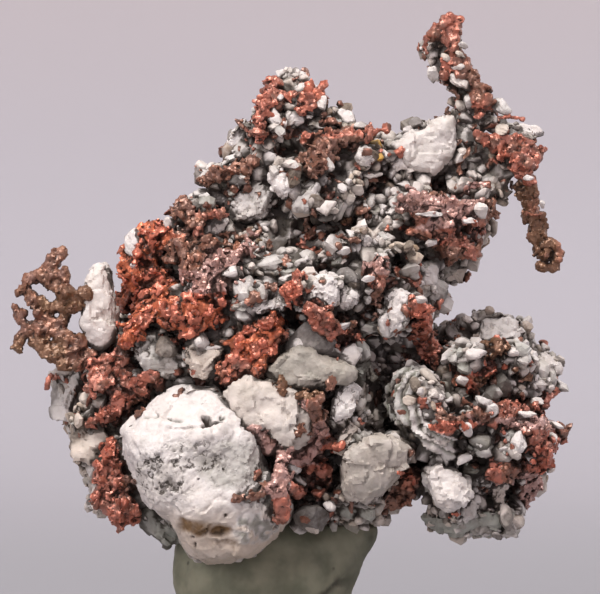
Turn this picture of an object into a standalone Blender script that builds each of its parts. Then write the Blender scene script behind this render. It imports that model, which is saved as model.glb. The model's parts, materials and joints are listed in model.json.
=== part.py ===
"""Native copper grown through pale calcite, standing in a lump of display putty.

The tables are in millimetres and every mesh is scaled to metres as it is placed. +Z is up, the front faces
-Y, and the origin is a point on the putty's flat foot, under the specimen. The calcite is one solid of
flat-faced lumps grown into each other. Each copper growth is a set of chains of crystal knobs, cut back
where the calcite fills its place.
"""

import math
import random

import bmesh
import bpy
from mathutils import Matrix, Vector
from mathutils.bvhtree import BVHTree

MM = 0.001  # metres in a millimetre

# Driving dimensions, in millimetres.
FIT_GAP = 0.32  # clear space between solids that touch
LUMP_CUTS = (3, 9)  # flat cuts on the smallest and the largest calcite lump
LUMP_SIZES = (1.5, 12.0)  # mean radii at which those counts apply
CUT_DEPTH = (0.80, 0.97)  # how far out a flat cut lies, in parts of the lump's radius
UNEVENNESS = 0.25  # how far each evenly spread direction is nudged, as a unit vector's share
SEAT_SINK = 0.45  # how deep a seated lump is sunk, in parts of its half-depth
KNOB_CORNERS = 5  # corners around each end of a stretch of copper
KNOB_REACH = (0.95, 1.12)  # how far out those corners lie, in parts of the knob's radius
KNOB_THICKNESS = 0.85  # a knob's depth in parts of its mean radius
KNOB_SINK = 0.30  # how deep a knob is sunk in the calcite, in parts of its depth
MOST_SHELL = 2.2  # longest move of a corner when a solid is grown, in parts of the growth
KEPT_FACES = 0.76  # share of the triangles that stays once slivers are collapsed
SEATED = None  # stands for the depth of what sits on the front of the calcite
AHEAD = -100.0  # a depth in front of the whole specimen, where the search for its front starts
SAME_PLANE = 1e-6  # distance within which a corner counts as lying in a cutting plane
CRYSTAL_FLAT = 1.0  # degrees between faces of a large crystal that are joined into one
SOLID_FLAT = 0.2  # degrees between faces of a finished solid that are joined into one

# First seeds of the chance shapes; the calcite lumps use their own row numbers, from 0.
PIT_SEED = 900
STRETCH_SEED = 1000

FOOT_SIDES = 14
# Height, left edge, right edge, front edge and back edge of each section of the putty.
PUTTY_SECTIONS = (
    (0.0, -14.8, 9.4, -10.5, 12.0),
    (2.0, -14.2, 8.6, -10.0, 11.4),
    (7.5, -14.3, 8.7, -9.2, 10.8),
    (11.0, -14.7, 10.3, -8.6, 11.0),
    (14.5, -14.5, 12.3, -7.6, 11.2),
    (18.6, -12.0, 12.5, -4.0, 9.5),
)

# Calcite lumps: x, y, z of the middle, half-width, half-depth, half-height, and lean to the right (degrees).
CALCITE_BODY = (
    (-8, 2, 28, 14, 13, 12, 0),
    (-6, 2, 40, 16.5, 13.5, 10, -10),
    (4, 2, 31, 13, 15, 13, 0),
    (6, 2, 46, 13, 13, 9, 0),
    (-6, 2, 52, 12, 11, 8.5, -20),
    (4, 2, 60, 11, 9.5, 7.5, 0),
    (16.4, 2, 56.6, 9.6, 8, 6, 0),
    (0.5, 1.5, 68, 4.6, 5.5, 6.5, 0),
    (14, 4, 29, 8, 9, 9, 0),
    (-22, 2, 33, 6, 7.5, 7, 0),
    (-21.4, 0.5, 23.4, 4.6, 6.5, 6, 0),
    (13, 0.5, 20.8, 5, 7, 3.8, 0),
    (16, 3, 39, 4, 6, 5.5, 0),
    (16, 3, 50, 5, 6, 5.5, 0),
    (8, 0.5, 64.2, 4.5, 4.5, 3, 0),
    (4, 0, 20, 10, 10, 4, 0),
    (-8, 1, 18, 8, 7, 4, 0),
    (24.5, 3, 27.5, 10.6, 13, 10.6, 0),
    (24.8, 4, 36, 8, 10, 6.6, 0),
    (23.6, 1, 60.4, 4.2, 5, 3.6, 0),
    (23.6, 1.5, 54.8, 3.6, 5, 4, 0),
)
CALCITE_BACK = (
    (-12, 12.5, 30, 6, 4.5, 6, 0),
    (-18, 9, 41, 5, 4.5, 5, 0),
    (2, 14, 38, 6, 4, 5, 0),
    (-5, 12, 51, 5.5, 4, 4.5, 15),
    (10, 12.5, 52, 5, 4, 4.5, 0),
    (8, 13.5, 27, 6, 4.5, 6, -15),
    (25, 13, 32, 6, 5, 6, 0),
    (24, 12.5, 22, 5, 4, 4, 0),
    (3, 9.5, 63, 4, 4, 4, 0),
)
CALCITE_RIGHT_LOBE = (
    (24.5, -3, 17.4, 6, 6, 2.6, 3),
    (23.2, 2, 41, 2, 2.6, 2.2, 0),
    (26.6, 4, 42.3, 2.4, 2.6, 1.9, 0),
    (30, 3, 41.2, 2.6, 3, 2.6, 10),
    (33.4, 5, 37, 2.5, 3, 2.6, 0),
    (34.6, 4, 34.6, 2.2, 2.4, 1.8, 0),
    (28.8, SEATED, 17.6, 2.4, 4, 2.2, 0),
    (32.6, SEATED, 35.3, 2.3, 3, 1.8, -10),
    (29.5, SEATED, 38, 2.4, 2.8, 2.0, 0),
    (23.6, SEATED, 38.2, 2.8, 3, 1.7, -15),
    (23.2, SEATED, 19, 1.6, 2.4, 1.9, 0),
    (27.8, SEATED, 21.6, 1.3, 2.6, 2.8, 0),
    (22.9, SEATED, 25, 1.8, 2.4, 1.1, -25),
    (25.4, SEATED, 27, 1.6, 2.4, 1.4, 0),
    (29.2, SEATED, 26.8, 1.6, 2.4, 1.9, 25),
    (25.6, SEATED, 33.4, 1.7, 2.2, 1.5, 0),
    (29.5, SEATED, 34.0, 1.8, 2.4, 1.4, 15),
)
CALCITE_LEFT = (
    (-16.6, -2, 17.6, 2.8, 6, 4.2, -35),
    (-25.6, -2, 29.4, 2.4, 3.4, 2.4, 0),
    (-24.6, -3, 26.2, 3.0, 4, 2.6, 10),
    (-28, 4.5, 34.5, 2.8, 4.4, 3.6, 0),
    (-26.8, 4, 30, 2.6, 4, 3.2, 0),
    (-16, SEATED, 39, 3.3, 4.4, 3, 0),
    (-10.4, SEATED, 38.3, 2.6, 3.8, 2.3, 30),
    (-18.4, 2.4, 51.8, 2.2, 4, 2.8, 15),
)
CALCITE_MIDDLE = (
    (-1, SEATED, 49.5, 5, 4, 2.6, -15),
    (-4, SEATED, 45.6, 3.4, 3.4, 2.2, -20),
    (4.7, SEATED, 46.6, 3.6, 4.2, 2.3, -15),
    (8.1, SEATED, 46.3, 2.1, 2.8, 1.9, 0),
    (14.4, SEATED, 44.2, 2.3, 3.6, 2.9, 0),
    (11.6, SEATED, 42.3, 2.2, 2.6, 1.6, 0),
    (8.4, SEATED, 38.4, 1.6, 2.4, 1.5, 0),
    (4.6, SEATED, 40.2, 2.4, 3, 1.7, 20),
    (12.4, SEATED, 38.7, 2.4, 3.4, 2.2, 0),
    (18.2, SEATED, 48.4, 2.2, 3.8, 2.9, 20),
    (21.6, 0.6, 50.2, 3.0, 4.6, 3.2, -10),
    (19.4, -1.2, 45.6, 2.0, 4, 2.6, 0),
    (3.4, SEATED, 17.6, 1.6, 3.4, 1.9, 0),
    (8.5, SEATED, 19, 3.6, 4.4, 2.5, 0),
)
CALCITE_UPPER = (
    (0.1, SEATED, 61.1, 2.2, 3.4, 1.9, 0),
    (-4.6, SEATED, 59.0, 2.8, 3.8, 2.6, 20),
    (2.6, SEATED, 58.6, 2, 3.4, 2.2, 15),
    (-1.4, SEATED, 67.8, 1.3, 2.4, 2.8, 0),
    (4.0, -1.6, 68, 2.8, 4, 2.6, 0),
    (7.3, -0.5, 68.9, 2.4, 3, 1.9, 25),
    (1, 2.4, 73.6, 2, 2.4, 2.2, 0),
    (-5.3, -0.2, 66.6, 2.4, 3.6, 2.5, 20),
    (-7.8, 0, 61.8, 4.0, 4, 2.3, -20),
    (-8.6, SEATED, 59.2, 2.2, 3, 1.6, 25),
    (-11.6, -2.5, 57.0, 2.4, 4, 1.7, 0),
    (-9.4, SEATED, 54.9, 2, 3, 1.6, 0),
    (10.4, SEATED, 64, 1.5, 3, 1.6, 0),
    (14.2, -1.2, 63.4, 2.6, 4, 1.8, 20),
    (5.6, SEATED, 57.4, 1.7, 3.4, 1.3, -25),
    (10.6, SEATED, 57, 1.9, 3.4, 2, 30),
    (9.3, SEATED, 53.2, 1.1, 2.6, 2.3, 30),
    (13.4, SEATED, 53.8, 1.8, 3, 1.6, 0),
    (6.2, SEATED, 51.4, 1.7, 2.6, 2.2, 0),
)
CALCITE_ARM = (
    (24.2, 0.6, 64.8, 2.5, 2.8, 4, 10),
    (24, 1.2, 69.6, 2.1, 2, 3.4, -10),
    (22.4, 0.9, 73.6, 2.3, 1.8, 2.8, -30),
    (20.6, 1.2, 76.8, 1.9, 1.6, 3.0, -10),
    (18.5, 1.2, 78.0, 1.6, 1.3, 1.5, 0),
    (21.4, 1.2, 79.2, 1.5, 1.4, 2.3, 10),
    (26.6, 1.6, 68.9, 2.8, 1.8, 1.7, 20),
    (30.0, 2.2, 67.6, 3.6, 1.7, 1.4, 20),
    (27, 0.2, 63.4, 2.4, 2.4, 3.4, 0),
    (28.2, 0.4, 60.2, 2.0, 2.4, 2.4, 0),
)
CALCITE_FRONT = CALCITE_RIGHT_LOBE + CALCITE_LEFT + CALCITE_MIDDLE + CALCITE_UPPER + CALCITE_ARM

# Large calcite crystals: outline as x and z, then front, widest and back depth, and the front face's lift.
CALCITE_CRYSTALS = {
    "front_block": (
        ((-20.4, 29.8), (-17, 31.6), (-7, 31.3), (-4.4, 28.4), (0.3, 20.5), (0.1, 16.5),
         (-3.5, 12.4), (-7.5, 11.5), (-11.5, 11.9), (-13.6, 14.6), (-18, 20.2), (-20.2, 26)),
        (-19.8, -13.5, -6, 2.2),
    ),
    "block_ledge": (
        ((-15.5, 30.5), (-14.3, 33.8), (-12, 34.6), (-8.3, 34.5), (-6.8, 32.5), (-7, 30), (-12, 29)),
        (-18, -14, -6, 0.3),
    ),
    "pale_dome": (
        ((-2.2, 36), (-0.5, 38), (1.2, 39.3), (3, 39.8), (6, 38.3), (8.5, 36.5), (8, 35), (4.5, 34.2),
         (0, 34.2)),
        (-15.5, -12, -5, 0.2),
    ),
    "pale_slab": (
        ((-7, 31.8), (-5, 34.6), (-1.5, 34.9), (3.5, 33.2), (4.3, 31), (3.5, 28.5), (0.5, 26.5),
         (-4.6, 28.7)),
        (-15.6, -12, -5, 0.4),
    ),
    "blunt_crystal": (
        ((7.2, 24.2), (8.5, 26.5), (10.2, 28), (12.2, 28.5), (15.9, 26.9), (16, 25), (12, 20.6),
         (9.5, 19.3)),
        (-15.2, -12, -3, 0.3),
    ),
    "long_crystal": (
        ((6, 29.3), (5.6, 30.8), (7, 34), (8.8, 34.9), (9.3, 33.8), (8.9, 31.8), (7.6, 29.3)),
        (-15.2, -13, -5, 0.0),
    ),
    "short_crystal": (
        ((6.2, 26.4), (7.6, 29.6), (9.2, 30.4), (9.8, 28.2), (8.4, 25.6)),
        (-14.6, -12, -5, 0.0),
    ),
    "wedge_crystal": (
        ((13.2, 65.4), (16, 67.4), (20, 69.3), (22.2, 69.7), (22.4, 66.5), (21.6, 63), (19.5, 61.4),
         (15, 61.5)),
        (-3, 0, 5, 0.2),
    ),
    "left_oval": (
        ((-26.3, 44), (-25.6, 47), (-23.8, 49.6), (-21.6, 50), (-19, 46), (-19, 42), (-22.2, 39.3),
         (-24.5, 39.6)),
        (-7, -3, 4, 0.2),
    ),
    "scalloped_ledge": (
        ((12.4, 32.4), (14, 35.5), (16.5, 37), (19, 36), (21.5, 31), (22.5, 27.5), (21.5, 25.2), (19, 25.1),
         (14.2, 29.3)),
        (-12.6, -9.6, -2, 0.3),
    ),
    "lobe_foot": (
        ((18.1, 24), (19.5, 24.6), (22, 23), (24, 21), (23.5, 19.5), (20, 18.6), (18.6, 20.3)),
        (-13, -10, -3, 0.2),
    ),
}
CRYSTAL_INSET = (0.76, 0.84)  # size of a large crystal's front and back face, in parts of its outline

# Pits in the calcite: x, y, z of the middle, half-width, half-depth and half-height.
PITS = (
    (1.6, -9.0, 55.4, 2.8, 5.5, 2.4),
    (1.1, -12.5, 43.1, 1.7, 5.5, 1.8),
    (14.4, -10.5, 50.4, 2.0, 4.5, 1.7),
    (11.6, -11.5, 33.4, 2.2, 6.5, 3.4),
)

# Copper growths: chains of knobs, each x, y, z, half-width and half-height. Chains of a growth share a knob.
COPPER = {
    "copper_left_fan": (
        ((-24.6, -3.6, 45.6, 1.5, 1.2), (-28.4, -2.2, 46.4, 1.4, 1.1), (-30.8, -1, 48.4, 1.1, 0.8),
         (-33.6, -0.5, 47.6, 0.9, 0.9)),
        ((-30.8, -1, 48.4, 1.1, 0.8), (-29.9, -1, 51.2, 1.1, 0.8)),
        ((-28.4, -2.2, 46.4, 1.4, 1.1), (-30.4, -1.5, 44.4, 1.5, 1.0), (-32.6, -1.5, 45.2, 0.7, 0.6)),
        ((-30.4, -1.5, 44.4, 1.5, 1.0), (-33.2, -1.5, 41.8, 1.4, 1.0), (-34.2, -1.5, 44.0, 0.6, 0.9)),
        ((-33.2, -1.5, 41.8, 1.4, 1.0), (-30.4, -2, 39.6, 2.4, 1.6), (-26.6, -3.0, 39.0, 2.0, 1.6)),
    ),
    "copper_main_cluster": (
        ((-17.2, SEATED, 53.6, 2.8, 2.4), (-19.8, SEATED, 49.2, 2.8, 2.4), (-19.6, SEATED, 45.0, 3.0, 2.4),
         (-19.6, SEATED, 41.0, 2.2, 2.2)),
        ((-19.8, SEATED, 49.2, 2.8, 2.4), (-15.8, SEATED, 47.6, 2.4, 2.4), (-15.2, SEATED, 43.8, 2.8, 2.2),
         (-11.0, SEATED, 43.2, 3.2, 2.9), (-9.8, SEATED, 48.2, 2.9, 2.4), (-11.2, SEATED, 52.0, 2.8, 2.2),
         (-17.2, SEATED, 53.6, 2.8, 2.4)),
        ((-9.8, SEATED, 48.2, 2.9, 2.4), (-5.8, SEATED, 51.4, 2.0, 1.8)),
    ),
    "copper_front_cluster": (
        ((-1.8, SEATED, 42.4, 2.4, 2.0), (-3.8, SEATED, 39.8, 2.8, 1.9), (-4.8, SEATED, 37.2, 3.2, 2.0),
         (-8.2, SEATED, 35.6, 1.6, 1.5)),
        ((-3.8, SEATED, 39.8, 2.8, 1.9), (-7.6, SEATED, 40.4, 2.0, 1.3)),
    ),
    "copper_curtain_upper": (
        ((-21.4, SEATED, 38.2, 2.8, 2.0), (-23.6, SEATED, 35.2, 2.6, 2.4), (-19.8, SEATED, 34.0, 3.2, 2.2),
         (-16.4, SEATED, 35.4, 2.0, 1.3)),
        ((-19.8, SEATED, 34.0, 3.2, 2.2), (-22.8, SEATED, 31.2, 2.4, 1.6), (-25.2, SEATED, 29.6, 1.1, 0.9)),
    ),
    "copper_curtain_lower": (
        ((-22.2, SEATED, 26.4, 1.6, 1.7), (-22.8, SEATED, 23.4, 2.8, 1.9), (-22.8, SEATED, 20.8, 2.9, 1.7),
         (-20.6, SEATED, 17.6, 2.2, 2.1)),
    ),
    "copper_peak_crust": (
        ((-1.6, SEATED, 73.6, 1.6, 1.4), (-2.2, SEATED, 70.9, 1.9, 1.7), (-3.4, SEATED, 67.0, 1.6, 2.2)),
        ((-2.2, SEATED, 70.9, 1.9, 1.7), (0.4, SEATED, 71.9, 1.1, 1.0)),
    ),
    "copper_peak_horn": (
        ((4.2, -2.4, 72.6, 1.2, 1.2), (2.8, -3.8, 70.3, 1.7, 1.9)),
    ),
    "copper_ridge_left": (
        ((-10.4, -3.6, 61.2, 1.7, 1.4), (-7.0, SEATED, 61.8, 2.0, 1.5), (-3.8, SEATED, 63.8, 1.7, 1.4)),
    ),
    "copper_left_buds": (
        ((-13.4, -5.4, 57.0, 1.5, 1.9), (-11.8, SEATED, 55.4, 1.7, 1.4), (-8.8, SEATED, 56.8, 1.6, 1.1)),
    ),
    "copper_top_ridge": (
        ((2.5, SEATED, 66.4, 1.5, 1.2), (5.8, -5.6, 66.0, 1.9, 1.2), (9.4, -4.8, 66.8, 2.0, 1.2),
         (12.4, -4.0, 67.5, 1.5, 1.1)),
        ((5.8, -5.6, 66.0, 1.9, 1.2), (3.2, SEATED, 62.6, 2.8, 2.0)),
    ),
    "copper_arm_upper": (
        ((21.6, -0.8, 80.6, 1.8, 1.8), (22, -1.6, 77.0, 1.5, 1.6), (24.8, -1.3, 73.6, 1.6, 1.5),
         (25.6, -2.0, 70.4, 2.0, 1.7)),
        ((22, -1.6, 77.0, 1.5, 1.6), (20.4, -1.4, 74.4, 0.9, 1.2)),
    ),
    "copper_elbow": (
        ((25.8, -3.2, 66.5, 1.8, 1.3), (29.8, -2.3, 65.4, 2.2, 1.5), (33.2, -1.5, 65.0, 1.3, 1.0)),
        ((29.8, -2.3, 65.4, 2.2, 1.5), (30.8, -2.3, 62.4, 2.8, 1.5)),
    ),
    "copper_finger": (
        ((31.2, -0.8, 60.2, 2.0, 1.6), (32.2, -0.5, 56.4, 1.5, 1.4), (32.9, -0.5, 53.4, 1.3, 1.3),
         (34.0, -0.5, 51.0, 1.8, 1.6)),
    ),
    "copper_shoulder": (
        ((15.4, SEATED, 58.2, 2.6, 1.8), (19.6, SEATED, 57.4, 2.8, 2.2), (23.4, SEATED, 56.6, 2.8, 2.2),
         (26.0, -2.4, 57.0, 2.0, 2.8)),
        ((19.6, SEATED, 57.4, 2.8, 2.2), (17.4, SEATED, 54.4, 2.6, 1.7), (21.6, SEATED, 52.8, 3.0, 2.3),
         (24.2, -3.6, 51.4, 1.6, 1.4)),
    ),
    "copper_centre_bud": (
        ((0.9, SEATED, 46.2, 1.7, 1.6), (2.2, SEATED, 48.7, 1.3, 1.2)),
    ),
    "copper_lace": (
        ((3.6, SEATED, 44.4, 1.6, 1.3), (5.2, SEATED, 41.6, 2.0, 1.4), (8.2, SEATED, 41.2, 1.8, 1.2)),
    ),
    "copper_brown_patch": (
        ((11.4, SEATED, 49.4, 2.2, 1.8), (11.6, SEATED, 45.8, 1.6, 1.6)),
    ),
    "copper_strap": (
        ((16.8, SEATED, 45.2, 1.5, 1.6), (17.6, SEATED, 41.0, 1.9, 2.2), (19.6, SEATED, 37.6, 2.0, 1.7)),
    ),
    "copper_front_sheet": (
        ((-3.3, SEATED, 28.4, 1.8, 1.3), (0.2, SEATED, 25.4, 2.4, 1.7), (3.4, SEATED, 26.2, 2.4, 1.9),
         (4.2, SEATED, 30.4, 2.0, 2.4), (2.2, SEATED, 33.8, 2.8, 1.1)),
        ((0.2, SEATED, 25.4, 2.4, 1.7), (-0.6, SEATED, 22.0, 2.0, 2.0), (-0.2, SEATED, 18.4, 1.3, 1.6)),
        ((-0.6, SEATED, 22.0, 2.0, 2.0), (-4.4, SEATED, 20.9, 1.9, 1.3)),
        ((3.4, SEATED, 26.2, 2.4, 1.9), (3.8, SEATED, 22.0, 2.4, 2.0)),
    ),
    "copper_lobe_crust": (
        ((19.8, SEATED, 29.6, 2.2, 1.4), (24.6, SEATED, 30.6, 2.2, 1.5), (28.6, SEATED, 30.8, 2.6, 2.2),
         (32.0, SEATED, 28.2, 2.6, 2.8), (35.0, -1.4, 27.8, 1.9, 2.6)),
        ((32.0, SEATED, 28.2, 2.6, 2.8), (31.6, SEATED, 24.2, 2.2, 2.2), (31.0, SEATED, 20.2, 2.2, 2.2)),
        ((28.6, SEATED, 30.8, 2.6, 2.2), (33.2, SEATED, 32.4, 1.9, 1.9)),
        ((31.6, SEATED, 24.2, 2.2, 2.2), (26.6, SEATED, 23.6, 1.7, 1.7)),
    ),
    "copper_lobe_top": (
        ((22.8, SEATED, 34.8, 1.7, 1.7), (26.4, SEATED, 36.8, 2.2, 1.4), (28.0, SEATED, 39.4, 1.7, 1.4)),
    ),
    "copper_neck_tuft": (
        ((16.4, SEATED, 23.4, 2.0, 1.9), (13.8, SEATED, 19.8, 2.9, 1.8)),
    ),
    "copper_back_cluster": (
        ((-14, 12.5, 46.2, 2.4, 2.2), (-10, 15.0, 43.4, 2.8, 2.4), (-4, 16.0, 42.6, 2.6, 2.4)),
        ((-10, 15.0, 43.4, 2.8, 2.4), (-13.6, 15.0, 38.0, 2.4, 2.6)),
    ),
    "copper_back_crust": (
        ((30.5, 14.0, 35.4, 2.4, 2.2), (28.6, 17.0, 30.2, 2.6, 2.6), (28.2, 16.0, 24.4, 2.2, 2.2)),
    ),
}

# Name, base colour, metallic value and roughness of each finish.
FINISHES = {
    "calcite": ((0.62, 0.60, 0.57), 0.0, 0.55),
    "bright_copper": ((0.46, 0.17, 0.08), 0.85, 0.38),
    "red_copper": ((0.45, 0.14, 0.09), 0.80, 0.42),
    "tarnished_copper": ((0.24, 0.12, 0.09), 0.65, 0.50),
    "putty": ((0.33, 0.33, 0.29), 0.0, 0.75),
}
FINISH_OF = {
    "copper_main_cluster": "bright_copper",
    "copper_front_cluster": "bright_copper",
    "copper_curtain_upper": "red_copper",
    "copper_curtain_lower": "red_copper",
    "copper_peak_crust": "red_copper",
    "copper_peak_horn": "red_copper",
    "copper_top_ridge": "red_copper",
    "copper_arm_upper": "red_copper",
    "copper_elbow": "red_copper",
    "copper_centre_bud": "red_copper",
    "copper_lace": "red_copper",
    "copper_strap": "red_copper",
    "copper_lobe_crust": "red_copper",
    "copper_lobe_top": "red_copper",
}


def spread_directions(count, rng):
    """Unit vectors spread evenly over the sphere, the whole set turned by chance and each one nudged."""
    turn = rng.uniform(0, 2 * math.pi)
    golden = math.pi * (3 - math.sqrt(5))
    found = []
    for i in range(count):
        height = 1 - 2 * (i + 0.5) / count
        radius = math.sqrt(1 - height * height)
        angle = turn + golden * i
        nudge = Vector([rng.uniform(-UNEVENNESS, UNEVENNESS) for _ in range(3)])
        even = Vector((radius * math.cos(angle), radius * math.sin(angle), height))
        found.append((even + nudge).normalized())
    return found


def chance_turn(rng):
    """A rotation about a chance axis."""
    axis = Vector([rng.uniform(-1, 1) for _ in range(3)]).normalized()
    return Matrix.Rotation(rng.uniform(0, 2 * math.pi), 4, axis)


def cut_flat(bm, point, normal):
    """Trims a convex body with one plane and closes the cut with one flat face."""
    everything = bm.verts[:] + bm.edges[:] + bm.faces[:]
    made = bmesh.ops.bisect_plane(
        bm, geom=everything, dist=SAME_PLANE, plane_co=point, plane_no=normal, clear_outer=True
    )
    rim = [item for item in made["geom_cut"] if isinstance(item, bmesh.types.BMEdge)]
    if rim:
        bmesh.ops.contextual_create(bm, geom=rim)


def fill_unit_box(bm):
    """Scales a body so that it just fills the box from -1 to 1 on every axis."""
    for axis in range(3):
        low = min(v.co[axis] for v in bm.verts)
        high = max(v.co[axis] for v in bm.verts)
        for v in bm.verts:
            v.co[axis] = 2 * (v.co[axis] - low) / (high - low) - 1


def lump(seed, x, y, z, half_width, half_depth, half_height, lean):
    """A calcite lump: a box with its corners cut off flat, turned, then scaled to its size."""
    rng = random.Random(seed)
    size = (half_width + half_depth + half_height) / 3
    share = min(1, max(0, (size - LUMP_SIZES[0]) / (LUMP_SIZES[1] - LUMP_SIZES[0])))
    bm = bmesh.new()
    bmesh.ops.create_cube(bm, size=2.0)
    for direction in spread_directions(round(LUMP_CUTS[0] + share * (LUMP_CUTS[1] - LUMP_CUTS[0])), rng):
        cut_flat(bm, direction * rng.uniform(*CUT_DEPTH), direction)
    bmesh.ops.transform(bm, matrix=chance_turn(rng), verts=bm.verts)
    fill_unit_box(bm)
    scale = Matrix.Diagonal((half_width, half_depth, half_height, 1))
    leaned = Matrix.Rotation(math.radians(lean), 4, "Y")
    bmesh.ops.transform(bm, matrix=Matrix.Translation((x, y, z)) @ leaned @ scale, verts=bm.verts)
    return bm


def hull_of(points):
    """The convex body around some points."""
    bm = bmesh.new()
    for point in points:
        bm.verts.new(point)
    made = bmesh.ops.convex_hull(bm, input=bm.verts[:])
    unused = made["geom_interior"] + made["geom_unused"]
    loose = {item for item in unused if isinstance(item, bmesh.types.BMVert)}
    bmesh.ops.delete(bm, geom=list(loose), context="VERTS")
    return bm


def crystal(outline, front, widest, back, lift):
    """A large calcite crystal: its outline at the widest depth, with a smaller flat face at each end."""
    middle_x = sum(x for x, _ in outline) / len(outline)
    middle_z = sum(z for _, z in outline) / len(outline)
    points = [(x, widest, z) for x, z in outline]
    for depth, inset, raised in ((front, CRYSTAL_INSET[0], lift), (back, CRYSTAL_INSET[1], 0.0)):
        for x, z in outline:
            points.append((middle_x + inset * (x - middle_x), depth, middle_z + raised + inset * (z - middle_z)))
    bm = hull_of(points)
    bmesh.ops.dissolve_limit(bm, angle_limit=math.radians(CRYSTAL_FLAT), verts=bm.verts, edges=bm.edges)
    return bm


def knob_corners(rng, x, y, z, half_width, half_height):
    """A few corners spread over the ellipsoid of one copper knob."""
    depth = KNOB_THICKNESS * (half_width + half_height) / 2
    reaches = [d * rng.uniform(*KNOB_REACH) for d in spread_directions(KNOB_CORNERS, rng)]
    return [(x + half_width * d.x, y + depth * d.y, z + half_height * d.z) for d in reaches]


def stretch(seed, start, end):
    """One stretch of copper: the convex body around the corners of the two knobs that it joins."""
    rng = random.Random(seed)
    return hull_of(knob_corners(rng, *start) + knob_corners(rng, *end))


def grown(bm, distance):
    """The convex body whose faces lie a distance outside those of another, which it replaces."""
    bm.normal_update()
    points = [v.co + v.normal * min(MOST_SHELL, v.calc_shell_factor()) * distance for v in bm.verts]
    bm.free()
    return hull_of(points)


def helper_object(bm, distance):
    """One convex body as a helper object in metres, grown by a distance."""
    bmesh.ops.recalc_face_normals(bm, faces=bm.faces)
    if distance:
        bm = grown(bm, distance)
    bmesh.ops.scale(bm, vec=(MM, MM, MM), verts=bm.verts)
    mesh = bpy.data.meshes.new("chip")
    bm.to_mesh(mesh)
    bm.free()
    return bpy.data.objects.new("chip", mesh)


def bounds(obj):
    """Lowest and highest corner of an object's mesh."""
    points = [v.co for v in obj.data.vertices]
    low = Vector([min(p[k] for p in points) for k in range(3)])
    high = Vector([max(p[k] for p in points) for k in range(3)])
    return low, high


def near(a, b):
    """Whether the boxes of two objects overlap."""
    low_a, high_a = bounds(a)
    low_b, high_b = bounds(b)
    return all(low_a[k] <= high_b[k] and low_b[k] <= high_a[k] for k in range(3))


def combine(obj, others, operation):
    """Applies one Boolean of an object with a list of helpers, which it removes."""
    if not others:
        return
    scene = bpy.context.scene.collection
    helpers = bpy.data.collections.new("helpers")
    scene.children.link(helpers)
    for other in others:
        helpers.objects.link(other)
    linked = obj.name in scene.objects
    if not linked:
        scene.objects.link(obj)
    modifier = obj.modifiers.new(operation, "BOOLEAN")
    modifier.operand_type = "COLLECTION"
    modifier.collection = helpers
    modifier.operation = operation
    modifier.solver = "EXACT"
    bpy.context.view_layer.update()
    made = bpy.data.meshes.new_from_object(obj.evaluated_get(bpy.context.evaluated_depsgraph_get()))
    obj.modifiers.clear()
    obj.data = made
    if not linked:
        scene.objects.unlink(obj)
    for other in others:
        bpy.data.objects.remove(other)
    bpy.data.collections.remove(helpers)


def keep_largest(obj):
    """Deletes the crumbs that a cut has left apart from the largest body."""
    bm = bmesh.new()
    bm.from_mesh(obj.data)
    islands, seen = [], set()
    for face in bm.faces:
        if face in seen:
            continue
        island, edge_of_it = [], [face]
        seen.add(face)
        while edge_of_it:
            current = edge_of_it.pop()
            island.append(current)
            for edge in current.edges:
                fresh = [f for f in edge.link_faces if f not in seen]
                seen.update(fresh)
                edge_of_it += fresh
        islands.append(island)
    islands.sort(key=lambda faces: sum(f.calc_area() for f in faces))
    bmesh.ops.delete(bm, geom=[f for island in islands[:-1] for f in island], context="FACES")
    bmesh.ops.dissolve_limit(bm, angle_limit=math.radians(SOLID_FLAT), verts=bm.verts, edges=bm.edges)
    bmesh.ops.triangulate(bm, faces=bm.faces)
    bm.to_mesh(obj.data)
    bm.free()


def finish_material(name):
    """The plain material of one finish."""
    colour, metallic, roughness = FINISHES[name]
    material = bpy.data.materials.new(name)
    material.use_nodes = True
    shader = material.node_tree.nodes["Principled BSDF"]
    shader.inputs["Base Color"].default_value = (*colour, 1)
    shader.inputs["Metallic"].default_value = metallic
    shader.inputs["Roughness"].default_value = roughness
    return material


def place(obj, name, collection, material):
    """Names a finished solid, gives it its material and puts it in the specimen's collection."""
    obj.name = name
    obj.data.name = name
    obj.data.materials.clear()
    obj.data.materials.append(material)
    obj.modifiers.new("collapse_slivers", "DECIMATE").ratio = KEPT_FACES
    collection.objects.link(obj)


def front_depth(tree, x, z, reach):
    """Where rays from the front first meet a solid around x and z, or the depth of its nearest point."""
    found = []
    for dx, dz in ((0, 0), (reach, 0), (-reach, 0), (0, reach), (0, -reach)):
        start = Vector(((x + dx) * MM, AHEAD * MM, (z + dz) * MM))
        hit = tree.ray_cast(start, Vector((0, 1, 0)))[0]
        if hit:
            found.append(hit.y / MM)
    if found:
        return min(found)
    return tree.find_nearest(Vector((x * MM, 0, z * MM)))[0].y / MM


def tree_of(obj):
    """The search tree of an object's faces."""
    bm = bmesh.new()
    bm.from_mesh(obj.data)
    tree = BVHTree.FromBMesh(bm)
    bm.free()
    return tree


def calcite_rows():
    """Every calcite lump's row, with each seated one given the depth of the base that it sits on."""
    base, *others = [helper_object(lump(seed, *row), 0) for seed, row in enumerate(CALCITE_BODY)]
    others += [helper_object(crystal(outline, *depths), 0) for outline, depths in CALCITE_CRYSTALS.values()]
    combine(base, others, "UNION")
    tree = tree_of(base)
    bpy.data.objects.remove(base)
    rows = list(CALCITE_BODY)
    for row in CALCITE_BACK + CALCITE_FRONT:
        x, y, z, half_width, half_depth, half_height, lean = row
        if y is SEATED:
            y = front_depth(tree, x, z, 0) - (1 - SEAT_SINK) * half_depth
        rows.append((x, y, z, half_width, half_depth, half_height, lean))
    return rows


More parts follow.
